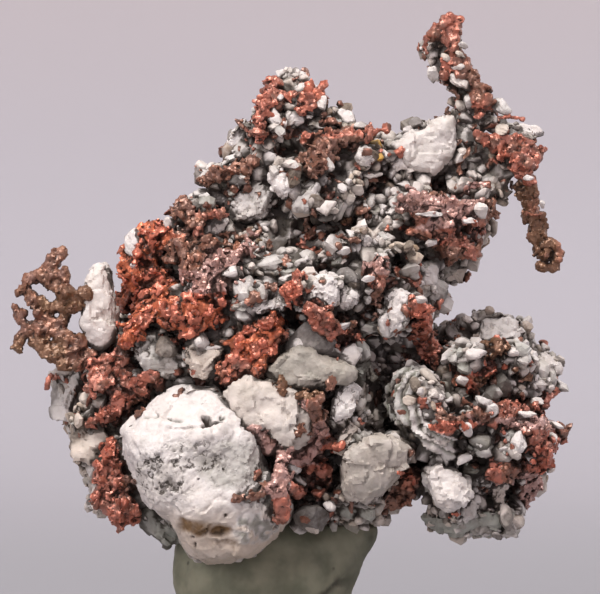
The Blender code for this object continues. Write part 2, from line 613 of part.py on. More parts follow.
def calcite_bodies(rows, distance):
    """Helper objects of every calcite lump and large crystal, grown by a distance."""
    lumps = [lump(seed, *row) for seed, row in enumerate(rows)]
    crystals = [crystal(outline, *depths) for outline, depths in CALCITE_CRYSTALS.values()]
    return [helper_object(bm, distance) for bm in lumps + crystals]


def copper_chains(name, tree):
    """The chains of one growth, with each seated knob given the depth of the calcite under it."""
    chains = []
    for chain in COPPER[name]:
        placed = []
        for x, y, z, half_width, half_height in chain:
            if y is SEATED:
                depth = KNOB_THICKNESS * (half_width + half_height) / 2
                y = front_depth(tree, x, z, min(half_width, half_height) / 2) - (1 - KNOB_SINK) * depth
            placed.append((x, y, z, half_width, half_height))
        chains.append(placed)
    return chains


def copper_bodies(chains, distance):
    """Helper objects of the stretches of one growth, grown by a distance."""
    pairs = [pair for chain in chains for pair in zip(chain, chain[1:])]
    return [helper_object(stretch(STRETCH_SEED + i, *pair), distance) for i, pair in enumerate(pairs)]


def calcite_solid(rows):
    """The calcite: every lump and crystal in one solid, with its pits."""
    obj, *others = calcite_bodies(rows, 0)
    combine(obj, others, "UNION")
    pits = [helper_object(lump(PIT_SEED + i, *row, 0), 0) for i, row in enumerate(PITS)]
    combine(obj, pits, "DIFFERENCE")
    keep_largest(obj)
    return obj


def cut_clear(obj, others):
    """Cuts an object clear of those others that are near it, and removes them all."""
    close = [other for other in others if near(obj, other)]
    for other in others:
        if other not in close:
            bpy.data.objects.remove(other)
    if close:
        first, *rest = close
        combine(first, rest, "UNION")
        combine(obj, [first], "DIFFERENCE")


def copper_solid(chains, rows, earlier):
    """One copper growth, cut clear of the calcite and of the growths made before it."""
    obj, *others = copper_bodies(chains, 0)
    combine(obj, others, "UNION")
    cut_clear(obj, calcite_bodies(rows, FIT_GAP))
    for other in earlier:
        cut_clear(obj, copper_bodies(other, FIT_GAP))
    keep_largest(obj)
    return obj


def putty_solid(rows, growths):
    """The putty lump: rounded sections joined upwards from its flat foot, pressed in by the specimen."""
    bm = bmesh.new()
    rings = []
    for height, left, right, front, back in PUTTY_SECTIONS:
        middle = Vector(((left + right) / 2, (front + back) / 2, height))
        ring = bmesh.ops.create_circle(bm, segments=FOOT_SIDES, radius=1.0)["verts"]
        sized = Matrix.Translation(middle) @ Matrix.Diagonal(((right - left) / 2, (back - front) / 2, 1, 1))
        bmesh.ops.transform(bm, matrix=sized, verts=ring)
        rings.append([e for e in bm.edges if e.verts[0] in ring and e.verts[1] in ring])
    for lower, upper in zip(rings, rings[1:]):
        bmesh.ops.bridge_loops(bm, edges=lower + upper)
    bmesh.ops.contextual_create(bm, geom=rings[0])
    bmesh.ops.contextual_create(bm, geom=rings[-1])
    obj = helper_object(bm, 0)
    cut_clear(obj, calcite_bodies(rows, FIT_GAP))
    for chains in growths:
        cut_clear(obj, copper_bodies(chains, FIT_GAP))
    keep_largest(obj)
    return obj


def main():
    """Builds the specimen in an empty scene."""
    for obj in list(bpy.data.objects):
        bpy.data.objects.remove(obj)
    specimen = bpy.data.collections.new("native_copper_specimen")
    bpy.context.scene.collection.children.link(specimen)
    materials = {name: finish_material(name) for name in FINISHES}
    rows = calcite_rows()
    calcite = calcite_solid(rows)
    place(calcite, "calcite_matrix", specimen, materials["calcite"])
    tree = tree_of(calcite)
    growths = {name: copper_chains(name, tree) for name in COPPER}
    for i, (name, chains) in enumerate(growths.items()):
        finish = FINISH_OF.get(name, "tarnished_copper")
        place(copper_solid(chains, rows, list(growths.values())[:i]), name, specimen, materials[finish])
    place(putty_solid(rows, growths.values()), "display_putty", specimen, materials["putty"])


main()
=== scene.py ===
"""Looks of the native copper specimen: pale calcite, the copper grown through it, and the putty it stands in.

Every shape is worked out in millimetres and scaled to metres as its mesh is made. +Z is up and the front
faces -Y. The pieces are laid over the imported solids, which give the place and the reach of each of them.
"""

from __future__ import annotations

import itertools
import json
import logging
from dataclasses import dataclass, field
from enum import Enum

import bmesh
import bpy
import numpy as np
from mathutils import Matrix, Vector
from mathutils.bvhtree import BVHTree

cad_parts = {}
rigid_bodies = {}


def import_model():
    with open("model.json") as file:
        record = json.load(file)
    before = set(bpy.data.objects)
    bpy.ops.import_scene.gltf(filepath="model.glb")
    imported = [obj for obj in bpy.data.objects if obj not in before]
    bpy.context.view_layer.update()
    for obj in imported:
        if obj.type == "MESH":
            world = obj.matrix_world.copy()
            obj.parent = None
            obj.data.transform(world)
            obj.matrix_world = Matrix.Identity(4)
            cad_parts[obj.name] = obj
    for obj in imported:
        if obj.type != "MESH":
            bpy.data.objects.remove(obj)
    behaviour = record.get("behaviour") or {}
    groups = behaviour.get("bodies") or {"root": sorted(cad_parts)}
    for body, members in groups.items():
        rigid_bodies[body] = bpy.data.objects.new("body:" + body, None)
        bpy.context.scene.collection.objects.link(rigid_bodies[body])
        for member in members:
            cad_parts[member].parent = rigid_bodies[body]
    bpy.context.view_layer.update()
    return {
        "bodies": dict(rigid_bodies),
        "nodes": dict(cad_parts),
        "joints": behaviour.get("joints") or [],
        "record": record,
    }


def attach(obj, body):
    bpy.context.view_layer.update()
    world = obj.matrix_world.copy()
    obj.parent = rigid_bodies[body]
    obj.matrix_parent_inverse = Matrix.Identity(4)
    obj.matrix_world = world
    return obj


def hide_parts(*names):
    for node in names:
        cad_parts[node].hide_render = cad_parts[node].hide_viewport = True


MM = 0.001  # metres in a millimetre
BODY = "root"
FRONT = np.array((0.0, -1.0, 0.0))  # the way that the front faces
RAY_START = -90.0  # depth, in front of everything, from which rays set out
FLAT_FACETS = 0.0  # crease of a piece whose every facet shows
NO_CREASE = 180.0  # crease of a piece that is smooth all over

Array = np.ndarray
Line = tuple[tuple[float, float], ...]
Branches = tuple[tuple[Line, float], ...]
Ovals = tuple[tuple[float, tuple[float, float], tuple[float, float], float], ...]
log = logging.getLogger("specimen")


# -------------------- Arithmetic on whole arrays of points


def unit(vectors: Array) -> Array:
    """Vectors divided by their lengths."""
    return vectors / np.maximum(np.linalg.norm(vectors, axis=-1, keepdims=True), 1e-12)


def smooth_step(values: Array, low: float, high: float) -> Array:
    """0 up to low, 1 from high on, and 3t² - 2t³ in between."""
    t = np.clip((values - low) / (high - low), 0.0, 1.0)
    return t * t * (3.0 - 2.0 * t)


def chance(cells: Array, seed: int) -> Array:
    """A number from 0 to 1 for each row of whole numbers, from an integer hash of the row.

    Args:
        cells: Whole-numbered lattice places, one to a row.
        seed: Which of many such sets of numbers is meant.

    Returns:
        One number for each row.
    """
    mixed = cells.astype(np.int64) @ np.array((73856093, 19349663, 83492791)) + seed * 15485863
    mixed = (mixed ^ (mixed >> 13)) * 1274126177
    mixed = (mixed ^ (mixed >> 16)) * 668265263
    return ((mixed >> 7) & 0xFFFFF) / float(0xFFFFF)


def cloud(points: Array, cell: float, seed: int) -> Array:
    """Smooth noise from -1 to 1: chances at the corners of a cubic lattice, blended by a smooth step.

    Args:
        points: Places, one to a row, in millimetres.
        cell: Side of a lattice cube.
        seed: Which noise.

    Returns:
        One value for each place.
    """
    scaled = points / cell
    corner = np.floor(scaled)
    blend = smooth_step(scaled - corner, 0.0, 1.0)
    total = np.zeros(len(points))
    for offset in itertools.product((0, 1), repeat=3):
        weight = np.prod(np.where(offset, blend, 1.0 - blend), axis=1)
        total += weight * chance(corner + offset, seed)
    return 2.0 * total - 1.0


def layered_cloud(points: Array, cell: float, layers: int, seed: int) -> Array:
    """A sum of clouds, each half as large and half as strong as the one before it."""
    return sum(cloud(points, cell / 2**i, seed + i) / 2**i for i in range(layers))


def cells_of(points: Array, cell: float, seed: int) -> tuple[Array, Array, Array, Array]:
    """Splits space into cells round scattered centres, one centre to each cube of a lattice.

    Args:
        points: Places, one to a row.
        cell: Side of a lattice cube.
        seed: Which scatter.

    Returns:
        Distance to the nearest centre, distance to the next one, both in cells, the nearest centre's lattice
        cube, and the way from that centre to the place, in cells.
    """
    scaled = points / cell
    corner = np.floor(scaled)
    nearest = np.full(len(points), 9.0)
    second = np.full(len(points), 9.0)
    owner = corner.copy()
    way = np.zeros_like(points)
    for offset in itertools.product((-1, 0, 1), repeat=3):
        cube = corner + offset
        centre = cube + np.stack([chance(cube, seed + i) for i in range(3)], axis=1)
        apart = scaled - centre
        distance = np.linalg.norm(apart, axis=1)
        closer = distance < nearest
        second = np.where(closer, nearest, np.minimum(second, distance))
        owner[closer] = cube[closer]
        way[closer] = apart[closer]
        nearest = np.where(closer, distance, nearest)
    return nearest, second, owner, way


def chipped(points: Array, cell: float, slope: float, seed: int) -> Array:
    """Relief of flat chips: each cell is a tilted plane at a chance height, from about -1 to 1.

    The height is (2 · chance - 1) · 0.6 + slope · (tilt · way from the cell's centre).

    Args:
        points: Places, one to a row.
        cell: Mean width of a chip.
        slope: How steeply the chips are tilted.
        seed: Which relief.

    Returns:
        One height for each place.
    """
    _, _, owner, way = cells_of(points, cell, seed)
    tilt = np.stack([2.0 * chance(owner, seed + 11 + i) - 1.0 for i in range(3)], axis=1)
    return 0.6 * (2.0 * chance(owner, seed + 17) - 1.0) + slope * np.sum(tilt * way, axis=1)


def oval(x: Array, z: Array, middle: tuple[float, float], half: tuple[float, float], soft: float) -> Array:
    """1 inside an upright oval, 0 outside it, with a soft edge.

    Args:
        x: Places across.
        z: Heights.
        middle: The oval's middle.
        half: Its half-width and half-height.
        soft: Width of the edge, in parts of the half-width.

    Returns:
        One share for each place.
    """
    reach = np.hypot((x - middle[0]) / half[0], (z - middle[1]) / half[1])
    return 1.0 - smooth_step(reach, 1.0 - soft, 1.0 + soft)


def strongest(x: Array, z: Array, ovals: Ovals) -> Array:
    """The greatest of several soft ovals, each given by its strength, middle, half-sizes and softness."""
    return np.maximum.reduce([strength * oval(x, z, *shape) for strength, *shape in ovals])


def groove(x: Array, z: Array, line: Line, width: float) -> Array:
    """1 on a line of straight stretches and 0 at width away from it: 1 - smooth step of the distance."""
    flat = np.stack((x, z), axis=1)
    nearest = np.full(len(flat), 99.0)
    for start, end in itertools.pairwise(np.array(line, float)):
        run = end - start
        along = np.clip((flat - start) @ run / (run @ run), 0.0, 1.0)
        nearest = np.minimum(nearest, np.linalg.norm(flat - start - along[:, None] * run, axis=1))
    return 1.0 - smooth_step(nearest, 0.0, width)


def lengths_along(corners: Array) -> Array:
    """How far along a line each of its corners lies: the sum of the stretches before it."""
    return np.concatenate(([0.0], np.cumsum(np.linalg.norm(np.diff(corners, axis=0), axis=1))))


def inside(x: Array, z: Array, outline: Line, scale: float = 1.0) -> Array:
    """True inside an outline, by how often a level line to the right of the place crosses it.

    Args:
        x: Places across.
        z: Heights.
        outline: Corners as x and z.
        scale: Factor by which the outline is grown about its middle.

    Returns:
        One truth value for each place.
    """
    corners = np.array(outline, float)
    corners = corners.mean(axis=0) + scale * (corners - corners.mean(axis=0))
    crossings = np.zeros(len(x), int)
    for (x0, z0), (x1, z1) in zip(corners, np.roll(corners, -1, axis=0)):
        spans = (z0 > z) != (z1 > z)
        crossings += spans & (x < x0 + (z - z0) * (x1 - x0) / (z1 - z0 + 1e-9))
    return crossings % 2 == 1


# -------------------- Surfaces


@dataclass
class Surface:
    """Points and faces, with the marks that a finish reads at each point.

    Attributes:
        points: Places in millimetres, one to a row.
        quads: Four-cornered faces, as rows of point numbers.
        triangles: Three-cornered faces.
        marks: A value for each point, by the mark's name.
    """

    points: Array
    quads: Array
    triangles: Array = field(default_factory=lambda: np.zeros((0, 3), int))
    marks: dict[str, Array] = field(default_factory=dict)

    def halves(self) -> Array:
        """All faces as triangles."""
        return np.concatenate((self.quads[:, (0, 1, 2)], self.quads[:, (0, 2, 3)], self.triangles))

    def facing(self, corners: Array) -> Array:
        """Cross products of the triangles' sides: twice the area long, and square to the face."""
        a, b, c = self.points[corners].transpose(1, 0, 2)
        return np.cross(b - a, c - a)

    def normals(self) -> Array:
        """Outward directions at the points: the sum of the faces around each, made one long."""
        corners = self.halves()
        facing = np.repeat(self.facing(corners), 3, axis=0)
        sums = [np.bincount(corners.ravel(), facing[:, i], len(self.points)) for i in range(3)]
        return unit(np.stack(sums, axis=1))

    def softened(self, rounds: int, share: float = 0.5) -> Surface:
        """Moves each point towards the mean of its neighbours, some number of times."""
        ring = np.concatenate([self.quads[:, (i, (i + 1) % 4)] for i in range(4)])
        ring = np.concatenate([ring] + [self.triangles[:, (i, (i + 1) % 3)] for i in range(3)])
        count = np.maximum(np.bincount(ring[:, 0], minlength=len(self.points)), 1)
        points = self.points
        for _ in range(rounds):
            sums = [np.bincount(ring[:, 0], points[ring[:, 1], i], len(points)) for i in range(3)]
            points = points + share * (np.stack(sums, axis=1) / count[:, None] - points)
        return Surface(points, self.quads, self.triangles, self.marks)

    def hollows(self, rounds: int) -> Array:
        """How far each point lies below its surroundings: the way to its softened place, outward."""
        return np.sum((self.softened(rounds).points - self.points) * self.normals(), axis=1)

    def moved(self, by: Array) -> Surface:
        """The surface with each point moved along its normal."""
        return Surface(self.points + by[:, None] * self.normals(), self.quads, self.triangles, self.marks)

    def scattered(self, count: int, draw: np.random.Generator) -> tuple[Array, Array]:
        """Random places spread evenly over the surface, and the outward direction at each."""
        corners = self.halves()
        facing = self.facing(corners)
        area = np.linalg.norm(facing, axis=1)
        chosen = draw.choice(len(corners), count, p=area / area.sum())
        root = np.sqrt(draw.random(count))[:, None]
        part = draw.random(count)[:, None]
        a, b, c = self.points[corners[chosen]].transpose(1, 0, 2)
        return a * (1 - root) + b * root * (1 - part) + c * root * part, unit(facing[chosen])

    def tree(self) -> BVHTree:
        """A search tree over the surface's triangles."""
        return BVHTree.FromPolygons(self.points.tolist(), self.halves().tolist())


def joined(surfaces: list[Surface]) -> Surface:
    """Puts several surfaces together.

    Args:
        surfaces: The surfaces.

    Returns:
        All of them as one. A mark that one of them lacks is 0 there.
    """
    starts = np.cumsum([0] + [len(s.points) for s in surfaces])
    names = sorted({name for s in surfaces for name in s.marks})
    marks = {n: np.concatenate([s.marks.get(n, np.zeros(len(s.points))) for s in surfaces]) for n in names}
    return Surface(
        np.concatenate([s.points for s in surfaces]),
        np.concatenate([s.quads + start for s, start in zip(surfaces, starts)]),
        np.concatenate([s.triangles + start for s, start in zip(surfaces, starts)]),
        marks,
    )


def mesh_of(surface: Surface, name: str, crease: float) -> bpy.types.Mesh:
    """Makes a Blender mesh of a surface, in metres, with its marks as float attributes.

    Args:
        surface: The points and faces, in millimetres.
        name: The mesh's name.
        crease: Degrees from which an edge stays sharp: 0 for flat facets and 180 for none.

    Returns:
        The mesh.
    """
    mesh = bpy.data.meshes.new(name)
    corners = np.concatenate((surface.quads.ravel(), surface.triangles.ravel())).astype(np.int32)
    many = len(surface.quads)
    starts = np.concatenate((4 * np.arange(many), 4 * many + 3 * np.arange(len(surface.triangles))))
    mesh.vertices.add(len(surface.points))
    mesh.vertices.foreach_set("co", (surface.points * MM).ravel())
    mesh.loops.add(len(corners))
    mesh.loops.foreach_set("vertex_index", corners)
    mesh.polygons.add(len(starts))
    mesh.polygons.foreach_set("loop_start", starts.astype(np.int32))
    mesh.polygons.foreach_set("use_smooth", np.full(len(starts), crease > FLAT_FACETS))
    for mark, values in surface.marks.items():
        mesh.attributes.new(mark, "FLOAT", "POINT").data.foreach_set("value", values.astype(np.float32))
    mesh.update(calc_edges=True)
    mesh.validate()
    if FLAT_FACETS < crease < NO_CREASE:
        mesh.set_sharp_from_angle(angle=float(np.radians(crease)))
    return mesh


def piece_of(surface: Surface, name: str, material: bpy.types.Material, crease: float) -> bpy.types.Object:
    """Makes a finished piece of a surface, at the origin, riding on the specimen's only body.

    Args:
        surface: The points and faces, in millimetres.
        name: The piece's name.
        material: Its finish.
        crease: Degrees from which an edge stays sharp: 0 for flat facets and 180 for none.

    Returns:
        The piece.
    """
    mesh = mesh_of(surface, name, crease)
    mesh.materials.append(material)
    piece = bpy.data.objects.new(name, mesh)
    bpy.context.scene.collection.objects.link(piece)
    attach(piece, BODY)
    log.info("%s: %d points, %d faces", name, len(mesh.vertices), len(mesh.polygons))
    return piece


def reskinned(mesh: bpy.types.Mesh, voxel: float) -> Surface:
    """One closed skin of even small quads over everything in a mesh, which is used up.

    Args:
        mesh: Closed forms, which may cross each other.
        voxel: Width of the quads, in millimetres.

    Returns:
        The skin, in millimetres.
    """
    blank = bpy.data.objects.new("blank", mesh)
    bpy.context.scene.collection.objects.link(blank)
    even = blank.modifiers.new("even", "REMESH")
    even.mode = "VOXEL"
    even.voxel_size = voxel * MM
    skin = bpy.data.meshes.new_from_object(blank.evaluated_get(bpy.context.evaluated_depsgraph_get()))
    points = np.zeros(3 * len(skin.vertices))
    skin.vertices.foreach_get("co", points)
    corners = np.zeros(len(skin.loops), np.int32)
    skin.loops.foreach_get("vertex_index", corners)
    bpy.data.objects.remove(blank)
    bpy.data.meshes.remove(mesh)
    bpy.data.meshes.remove(skin)
    return Surface(points.reshape(-1, 3) / MM, corners.reshape(-1, 4))


def remade(node: bpy.types.Object, voxel: float) -> Surface:
    """A node's solid as an even mesh of small quads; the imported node's own mesh stays as it is.

    Args:
        node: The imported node.
        voxel: Width of the quads, in millimetres.

    Returns:
        The mesh's surface.
    """
    mesh = node.data.copy()
    shell = bmesh.new()
    shell.from_mesh(mesh)
    bmesh.ops.remove_doubles(shell, verts=shell.verts, dist=0.001 * MM)
    shell.to_mesh(mesh)
    shell.free()
    return reskinned(mesh, voxel)


def fused(surfaces: list[Surface], voxel: float) -> Surface:
    """Closed surfaces that cross each other, as one skin."""
    return reskinned(mesh_of(joined(surfaces), "fused", FLAT_FACETS), voxel)


def ball_grid(rings: int, segments: int) -> tuple[Array, Array, Array]:
    """Directions over a ball on a grid of two angles: (sin p cos a, sin p sin a, cos p), and both poles.

    Args:
        rings: How many steps of the polar angle p lie between the poles.
        segments: How many steps of the angle a round the axis.

    Returns:
        The directions, the four-cornered faces and the three-cornered faces round the poles.
    """
    polar = np.pi * (np.arange(rings)[:, None] + 1) / (rings + 1)
    around = 2 * np.pi * np.arange(segments)[None, :] / segments
    grid = np.stack((np.sin(polar) * np.cos(around), np.sin(polar) * np.sin(around),
                     np.cos(polar) + 0 * around), axis=2).reshape(-1, 3)
    directions = np.concatenate(([(0.0, 0.0, 1.0)], grid, [(0.0, 0.0, -1.0)]))
    row, step = np.meshgrid(np.arange(rings - 1), np.arange(segments), indexing="ij")
    after = (step + 1) % segments
    quads = 1 + np.stack((row * segments + step, (row + 1) * segments + step,
                          (row + 1) * segments + after, row * segments + after), axis=2).reshape(-1, 4)
    step = np.arange(segments)
    after = (step + 1) % segments
    top = np.stack((np.zeros(segments, int), 1 + step, 1 + after), axis=1)
    last = 1 + (rings - 1) * segments
    bottom = np.stack((np.full(segments, rings * segments + 1), last + after, last + step), axis=1)
    return directions, quads, np.concatenate((top, bottom))


def faceted(directions: Array, planes: Array, reach: Array, crispness: Array | float) -> Array:
    """Radii of rounded polyhedra: r = (sum of max(0, n · D / d)^p + limit^-p)^(-1/p) over the planes (n, d).

    A high power p gives flat faces with crisp edges, and a low one a rounded lump.

    Args:
        directions: Directions D, one to a row.
        planes: Each shape's plane directions n, as shapes by planes by 3.
        reach: Each plane's distance d from the middle, as shapes by planes.
        crispness: The power p, for each shape or for all.

    Returns:
        Radii, as shapes by directions.
    """
    power = np.broadcast_to(np.asarray(crispness, float).reshape(-1, 1, 1), (len(planes), 1, 1))
    limit = 1.3
    lean = np.einsum("vc,mkc->mkv", directions, planes) / reach[:, :, None]
    total = np.sum(np.clip(lean, 0.0, None) ** power, axis=1) + limit ** -power[:, 0]
    return total ** (-1.0 / power[:, 0])


def swept(outline: Line, front: float, back: float, around: int, rings: int, squareness: float,
          sharp: int) -> Surface:
    """A closed form from an outline: a function of a place round the outline and a place along a section.

    Along the section the outline shrinks to share |sin t|^(2/p) of its size, while the depth runs from front
    to back with (1 - cos t) / 2, whose cosine is raised to 2/p too.

    Args:
        outline: Corners as x and z.
        front: Depth of the front's middle.
        back: Depth of the back's middle.
        around: Points round the outline.
        rings: Steps along the section.
        squareness: The power p: 2 gives an oval section, and more a squarer one.
        sharp: Rounds of smoothing of the outline's corners.

    Returns:
        The form.
    """
    corners = np.array(outline, float)
    closed = np.concatenate((corners, corners[:1]))
    length = lengths_along(closed)
    even = np.arange(around) * length[-1] / around
    rim = np.stack([np.interp(even, length, closed[:, i]) for i in range(2)], axis=1)
    for _ in range(sharp):
        rim = (np.roll(rim, 1, axis=0) + 2 * rim + np.roll(rim, -1, axis=0)) / 4
    middle = rim.mean(axis=0)
    t = np.linspace(0.0, np.pi, 2000)
    share = np.abs(np.sin(t)) ** (2 / squareness)
    depth = 0.5 - 0.5 * np.sign(np.cos(t)) * np.abs(np.cos(t)) ** (2 / squareness)
    radius = np.linalg.norm(rim - middle, axis=1).mean()
    steps = np.hypot(radius * np.diff(share), (back - front) * np.diff(depth))
    length = np.concatenate(([0.0], np.cumsum(steps)))
    even = np.linspace(0.0, length[-1], rings + 2)[1:-1]
    share, depth = np.interp(even, length, share), np.interp(even, length, depth)
    _, quads, triangles = ball_grid(rings, around)
    flat = middle + share[:, None, None] * (rim - middle)
    deep = np.broadcast_to((front + depth * (back - front))[:, None], flat.shape[:2])
    grid = np.stack((flat[:, :, 0], deep, flat[:, :, 1]), axis=2).reshape(-1, 3)
    poles = np.array(((middle[0], front, middle[1]), (middle[0], back, middle[1])))
    form = Surface(np.concatenate((poles[:1], grid, poles[1:])), quads, triangles)
    outward = form.points[form.halves()].mean(axis=1) - form.points.mean(axis=0)
    if np.sum(form.facing(form.halves()) * outward) < 0:
        form = Surface(form.points, quads[:, ::-1], triangles[:, ::-1])
    return form


def frames_about(axes: Array, draw: np.random.Generator) -> Array:
    """Turned frames whose third row is the given axis, with a chance turn about it."""
    third = unit(axes)
    first = unit(np.cross(third, draw.normal(size=third.shape)))
    return np.stack((first, np.cross(third, first), third), axis=1)


def lumps(centres: Array, frames: Array, halves: Array, crispness: Array | float, grid: tuple[int, int],
          cuts: int, draw: np.random.Generator, lobes: Array | float = 0.0) -> Surface:
    """Many faceted lumps as one surface, each fitted to its own half-sizes.

    Round its third axis a lump's radius swells with 1 + lobes · (0.6 cos(3a + f) + 0.4 cos(5a + g)).

    Args:
        centres: Middles, one to a row.
        frames: Each lump's own axes, as rows.
        halves: Half-sizes along those axes.
        crispness: Power of the facets, as for faceted.
        grid: Rings and segments of each lump.
        cuts: How many planes cut each lump.
        draw: Source of chance.
        lobes: How deeply each lump's rim is lobed.

    Returns:
        The surface, with a mark "bit" that holds each lump's own chance number.
    """
    directions, quads, triangles = ball_grid(*grid)
    many, each = len(centres), len(directions)
    planes = unit(draw.normal(size=(many, cuts, 3)))
    radii = faceted(directions, planes, draw.uniform(0.62, 1.0, (many, cuts)), crispness)
    angle = np.arctan2(directions[:, 1], directions[:, 0])[None, :]
    starts = draw.uniform(0.0, 2 * np.pi, (2, many, 1))
    swell = 0.6 * np.cos(3 * angle + starts[0]) + 0.4 * np.cos(5 * angle + starts[1])
    swell = swell * np.hypot(directions[:, 0], directions[:, 1])
    radii = radii * (1.0 + np.reshape(lobes, (-1, 1)) * swell)
    local = radii[:, :, None] * directions
    low, high = local.min(axis=1, keepdims=True), local.max(axis=1, keepdims=True)
    local = (2 * local - low - high) / (high - low) * halves[:, None, :]
    points = np.einsum("mvi,mic->mvc", local, frames) + centres[:, None, :]
    shift = (each * np.arange(many))[:, None, None]
    return Surface(
        points.reshape(-1, 3),
        (quads + shift).reshape(-1, 4),
        (triangles + shift).reshape(-1, 3),
        {"bit": np.repeat(draw.random(many), each)},
    )


def met_from_front(tree: BVHTree, x: float, z: float) -> tuple[Vector | None, Vector | None]:
    """Place and normal where a ray from the front meets a surface, or None for both."""
    return tree.ray_cast(Vector((x, RAY_START, z)), Vector(-FRONT))[:2]


def front_at(tree: BVHTree, x: float, z: float) -> float:
    """Depth at which a ray from the front meets a surface, or else the depth of its nearest point."""
    place = met_from_front(tree, x, z)[0] or tree.find_nearest(Vector((x, -3.0, z)))[0]
    return place.y


def strung(branches: Branches, tree: BVHTree, draw: np.random.Generator, least: float,
           thickness: float = 1.0) -> Surface:
    """Knobs strung closely along lines, seated where rays from the front meet a surface.

    Args:
        branches: Each line as corners x and z, and its half-width.
        tree: Search tree of what they lie on.
        draw: Source of chance.
        least: Least half-size of a knob.
        thickness: Depth of a knob in parts of its width. Below 1 they lie flat, as ribbons that bridge gaps.

    Returns:
        The knobs, which cross each other.
    """
    rows = []
    for line, half in branches:
        corners = np.array(line, float)
        length = lengths_along(corners)
        even = np.linspace(0.0, length[-1], int(length[-1] / (0.7 * half)) + 2)
        x, z = (np.interp(even, length, corners[:, i]) for i in range(2))
        depth = np.array([front_at(tree, a, b) for a, b in zip(x, z)])
        if thickness < 1.0:
            beside = np.lib.stride_tricks.sliding_window_view(np.pad(depth, 2, mode="edge"), 5)
            depth = np.min(beside, axis=1)
        depth = np.convolve(np.pad(depth, 1, mode="edge"), (0.25, 0.5, 0.25), mode="valid")
        rows.append(np.stack((x, depth + (thickness - 0.6) * half, z, np.full(len(x), half)), axis=1))
    beads = np.concatenate(rows)
    many = len(beads)
    halves = np.maximum(beads[:, 3:] * draw.uniform(0.75, 1.35, (many, 3)), least)
    centres = beads[:, :3] + 0.15 * beads[:, 3:] * draw.normal(size=(many, 3)) * (1.0, thickness, 1.0)
    axes = draw.normal(size=(many, 3)) if thickness == 1.0 else FRONT + 0.2 * draw.normal(size=(many, 3))
    halves[:, 2] *= thickness
    return lumps(centres, frames_about(axes, draw), halves, 16.0, (5, 10), 9, draw, 0.12)


def thinned(places: Array, cell: float) -> Array:
    """Numbers of the places that stay when each cube of a lattice keeps only its first."""
    _, first = np.unique(np.floor(places / cell).astype(int), axis=0, return_index=True)
    return np.sort(first)


@dataclass
class Crowding:
    """How closely surfaces stand together, on a lattice of cubes that is blurred three times.

    Attributes:
        clouds: The points of all surfaces.
        cell: Side of a cube, in millimetres.
    """

    clouds: list[Array]
    cell: float = 0.5

    def __post_init__(self) -> None:
        """Fills the lattice: a cube that holds a point counts 1, and the blur is a mean over three cubes."""
        every = np.concatenate(self.clouds)
        margin = 6
        self.low = every.min(axis=0) - margin * self.cell
        cubes = ((every - self.low) / self.cell).astype(int)
        self.filled = np.zeros(cubes.max(axis=0) + margin, np.float32)
        self.filled[tuple(cubes.T)] = 1.0
        for _, axis in itertools.product(range(3), range(3)):
            beside = np.roll(self.filled, 1, axis) + np.roll(self.filled, -1, axis)
            self.filled = (self.filled + beside) / 3

    def crevice(self, surface: Surface, low: float = 0.15, high: float = 0.46) -> Array:
        """How deep in a crevice each point lies, by the crowding at two places along its normal. The finishes
        darken by it as painted shade.

        Args:
            surface: The points.
            low: Crowding up to which a point is in the open.
            high: Crowding from which it is deep in a crevice.

        Returns:
            A number from 0 to 1 for each point.
        """
        facing = surface.normals()
        crowd = np.zeros(len(facing))
        for reach, weight in ((1.1, 0.6), (2.1, 0.4)):
            cubes = ((surface.points + reach * facing - self.low) / self.cell).astype(int)
            cubes = np.clip(cubes, 0, np.array(self.filled.shape) - 1)
            crowd += weight * self.filled[tuple(cubes.T)]
        return smooth_step(crowd, low, high)


# -------------------- Shader maths


class Wire:
    """One output socket of a node. Arithmetic on it adds Math nodes to the tree."""

    def __init__(self, board: Board, socket: bpy.types.NodeSocket) -> None:
        """Keeps the socket and the board that it belongs to."""
        self.board = board
        self.socket = socket

    def _math(self, operation: str, *values: Wire | float) -> Wire:
        """A Math node of one operation on the given values."""
        return self.board.add("ShaderNodeMath", {"operation": operation}, dict(enumerate(values)))

    def __add__(self, other: Wire | float) -> Wire:
        """self + other."""
        return self._math("ADD", self, other)

    def __radd__(self, other: float) -> Wire:
        """other + self."""
        return self._math("ADD", other, self)

    def __sub__(self, other: Wire | float) -> Wire:
        """self - other."""
        return self._math("SUBTRACT", self, other)

    def __rsub__(self, other: float) -> Wire:
        """other - self."""
        return self._math("SUBTRACT", other, self)

    def __mul__(self, other: Wire | float) -> Wire:
        """self * other."""
        return self._math("MULTIPLY", self, other)

    def __rmul__(self, other: float) -> Wire:
        """other * self."""
        return self._math("MULTIPLY", other, self)

    def __truediv__(self, other: Wire | float) -> Wire:
        """self / other."""
        return self._math("DIVIDE", self, other)

    def clamped(self) -> Wire:
        """The value held between 0 and 1."""
        return self.board.add("ShaderNodeClamp", {}, {"Value": self})

    def step(self, low: float, high: float) -> Wire:
        """A smooth step from 0 at low to 1 at high."""
        return self.board.add("ShaderNodeMapRange", {"interpolation_type": "SMOOTHSTEP"},
                              {"Value": self, "From Min": low, "From Max": high})


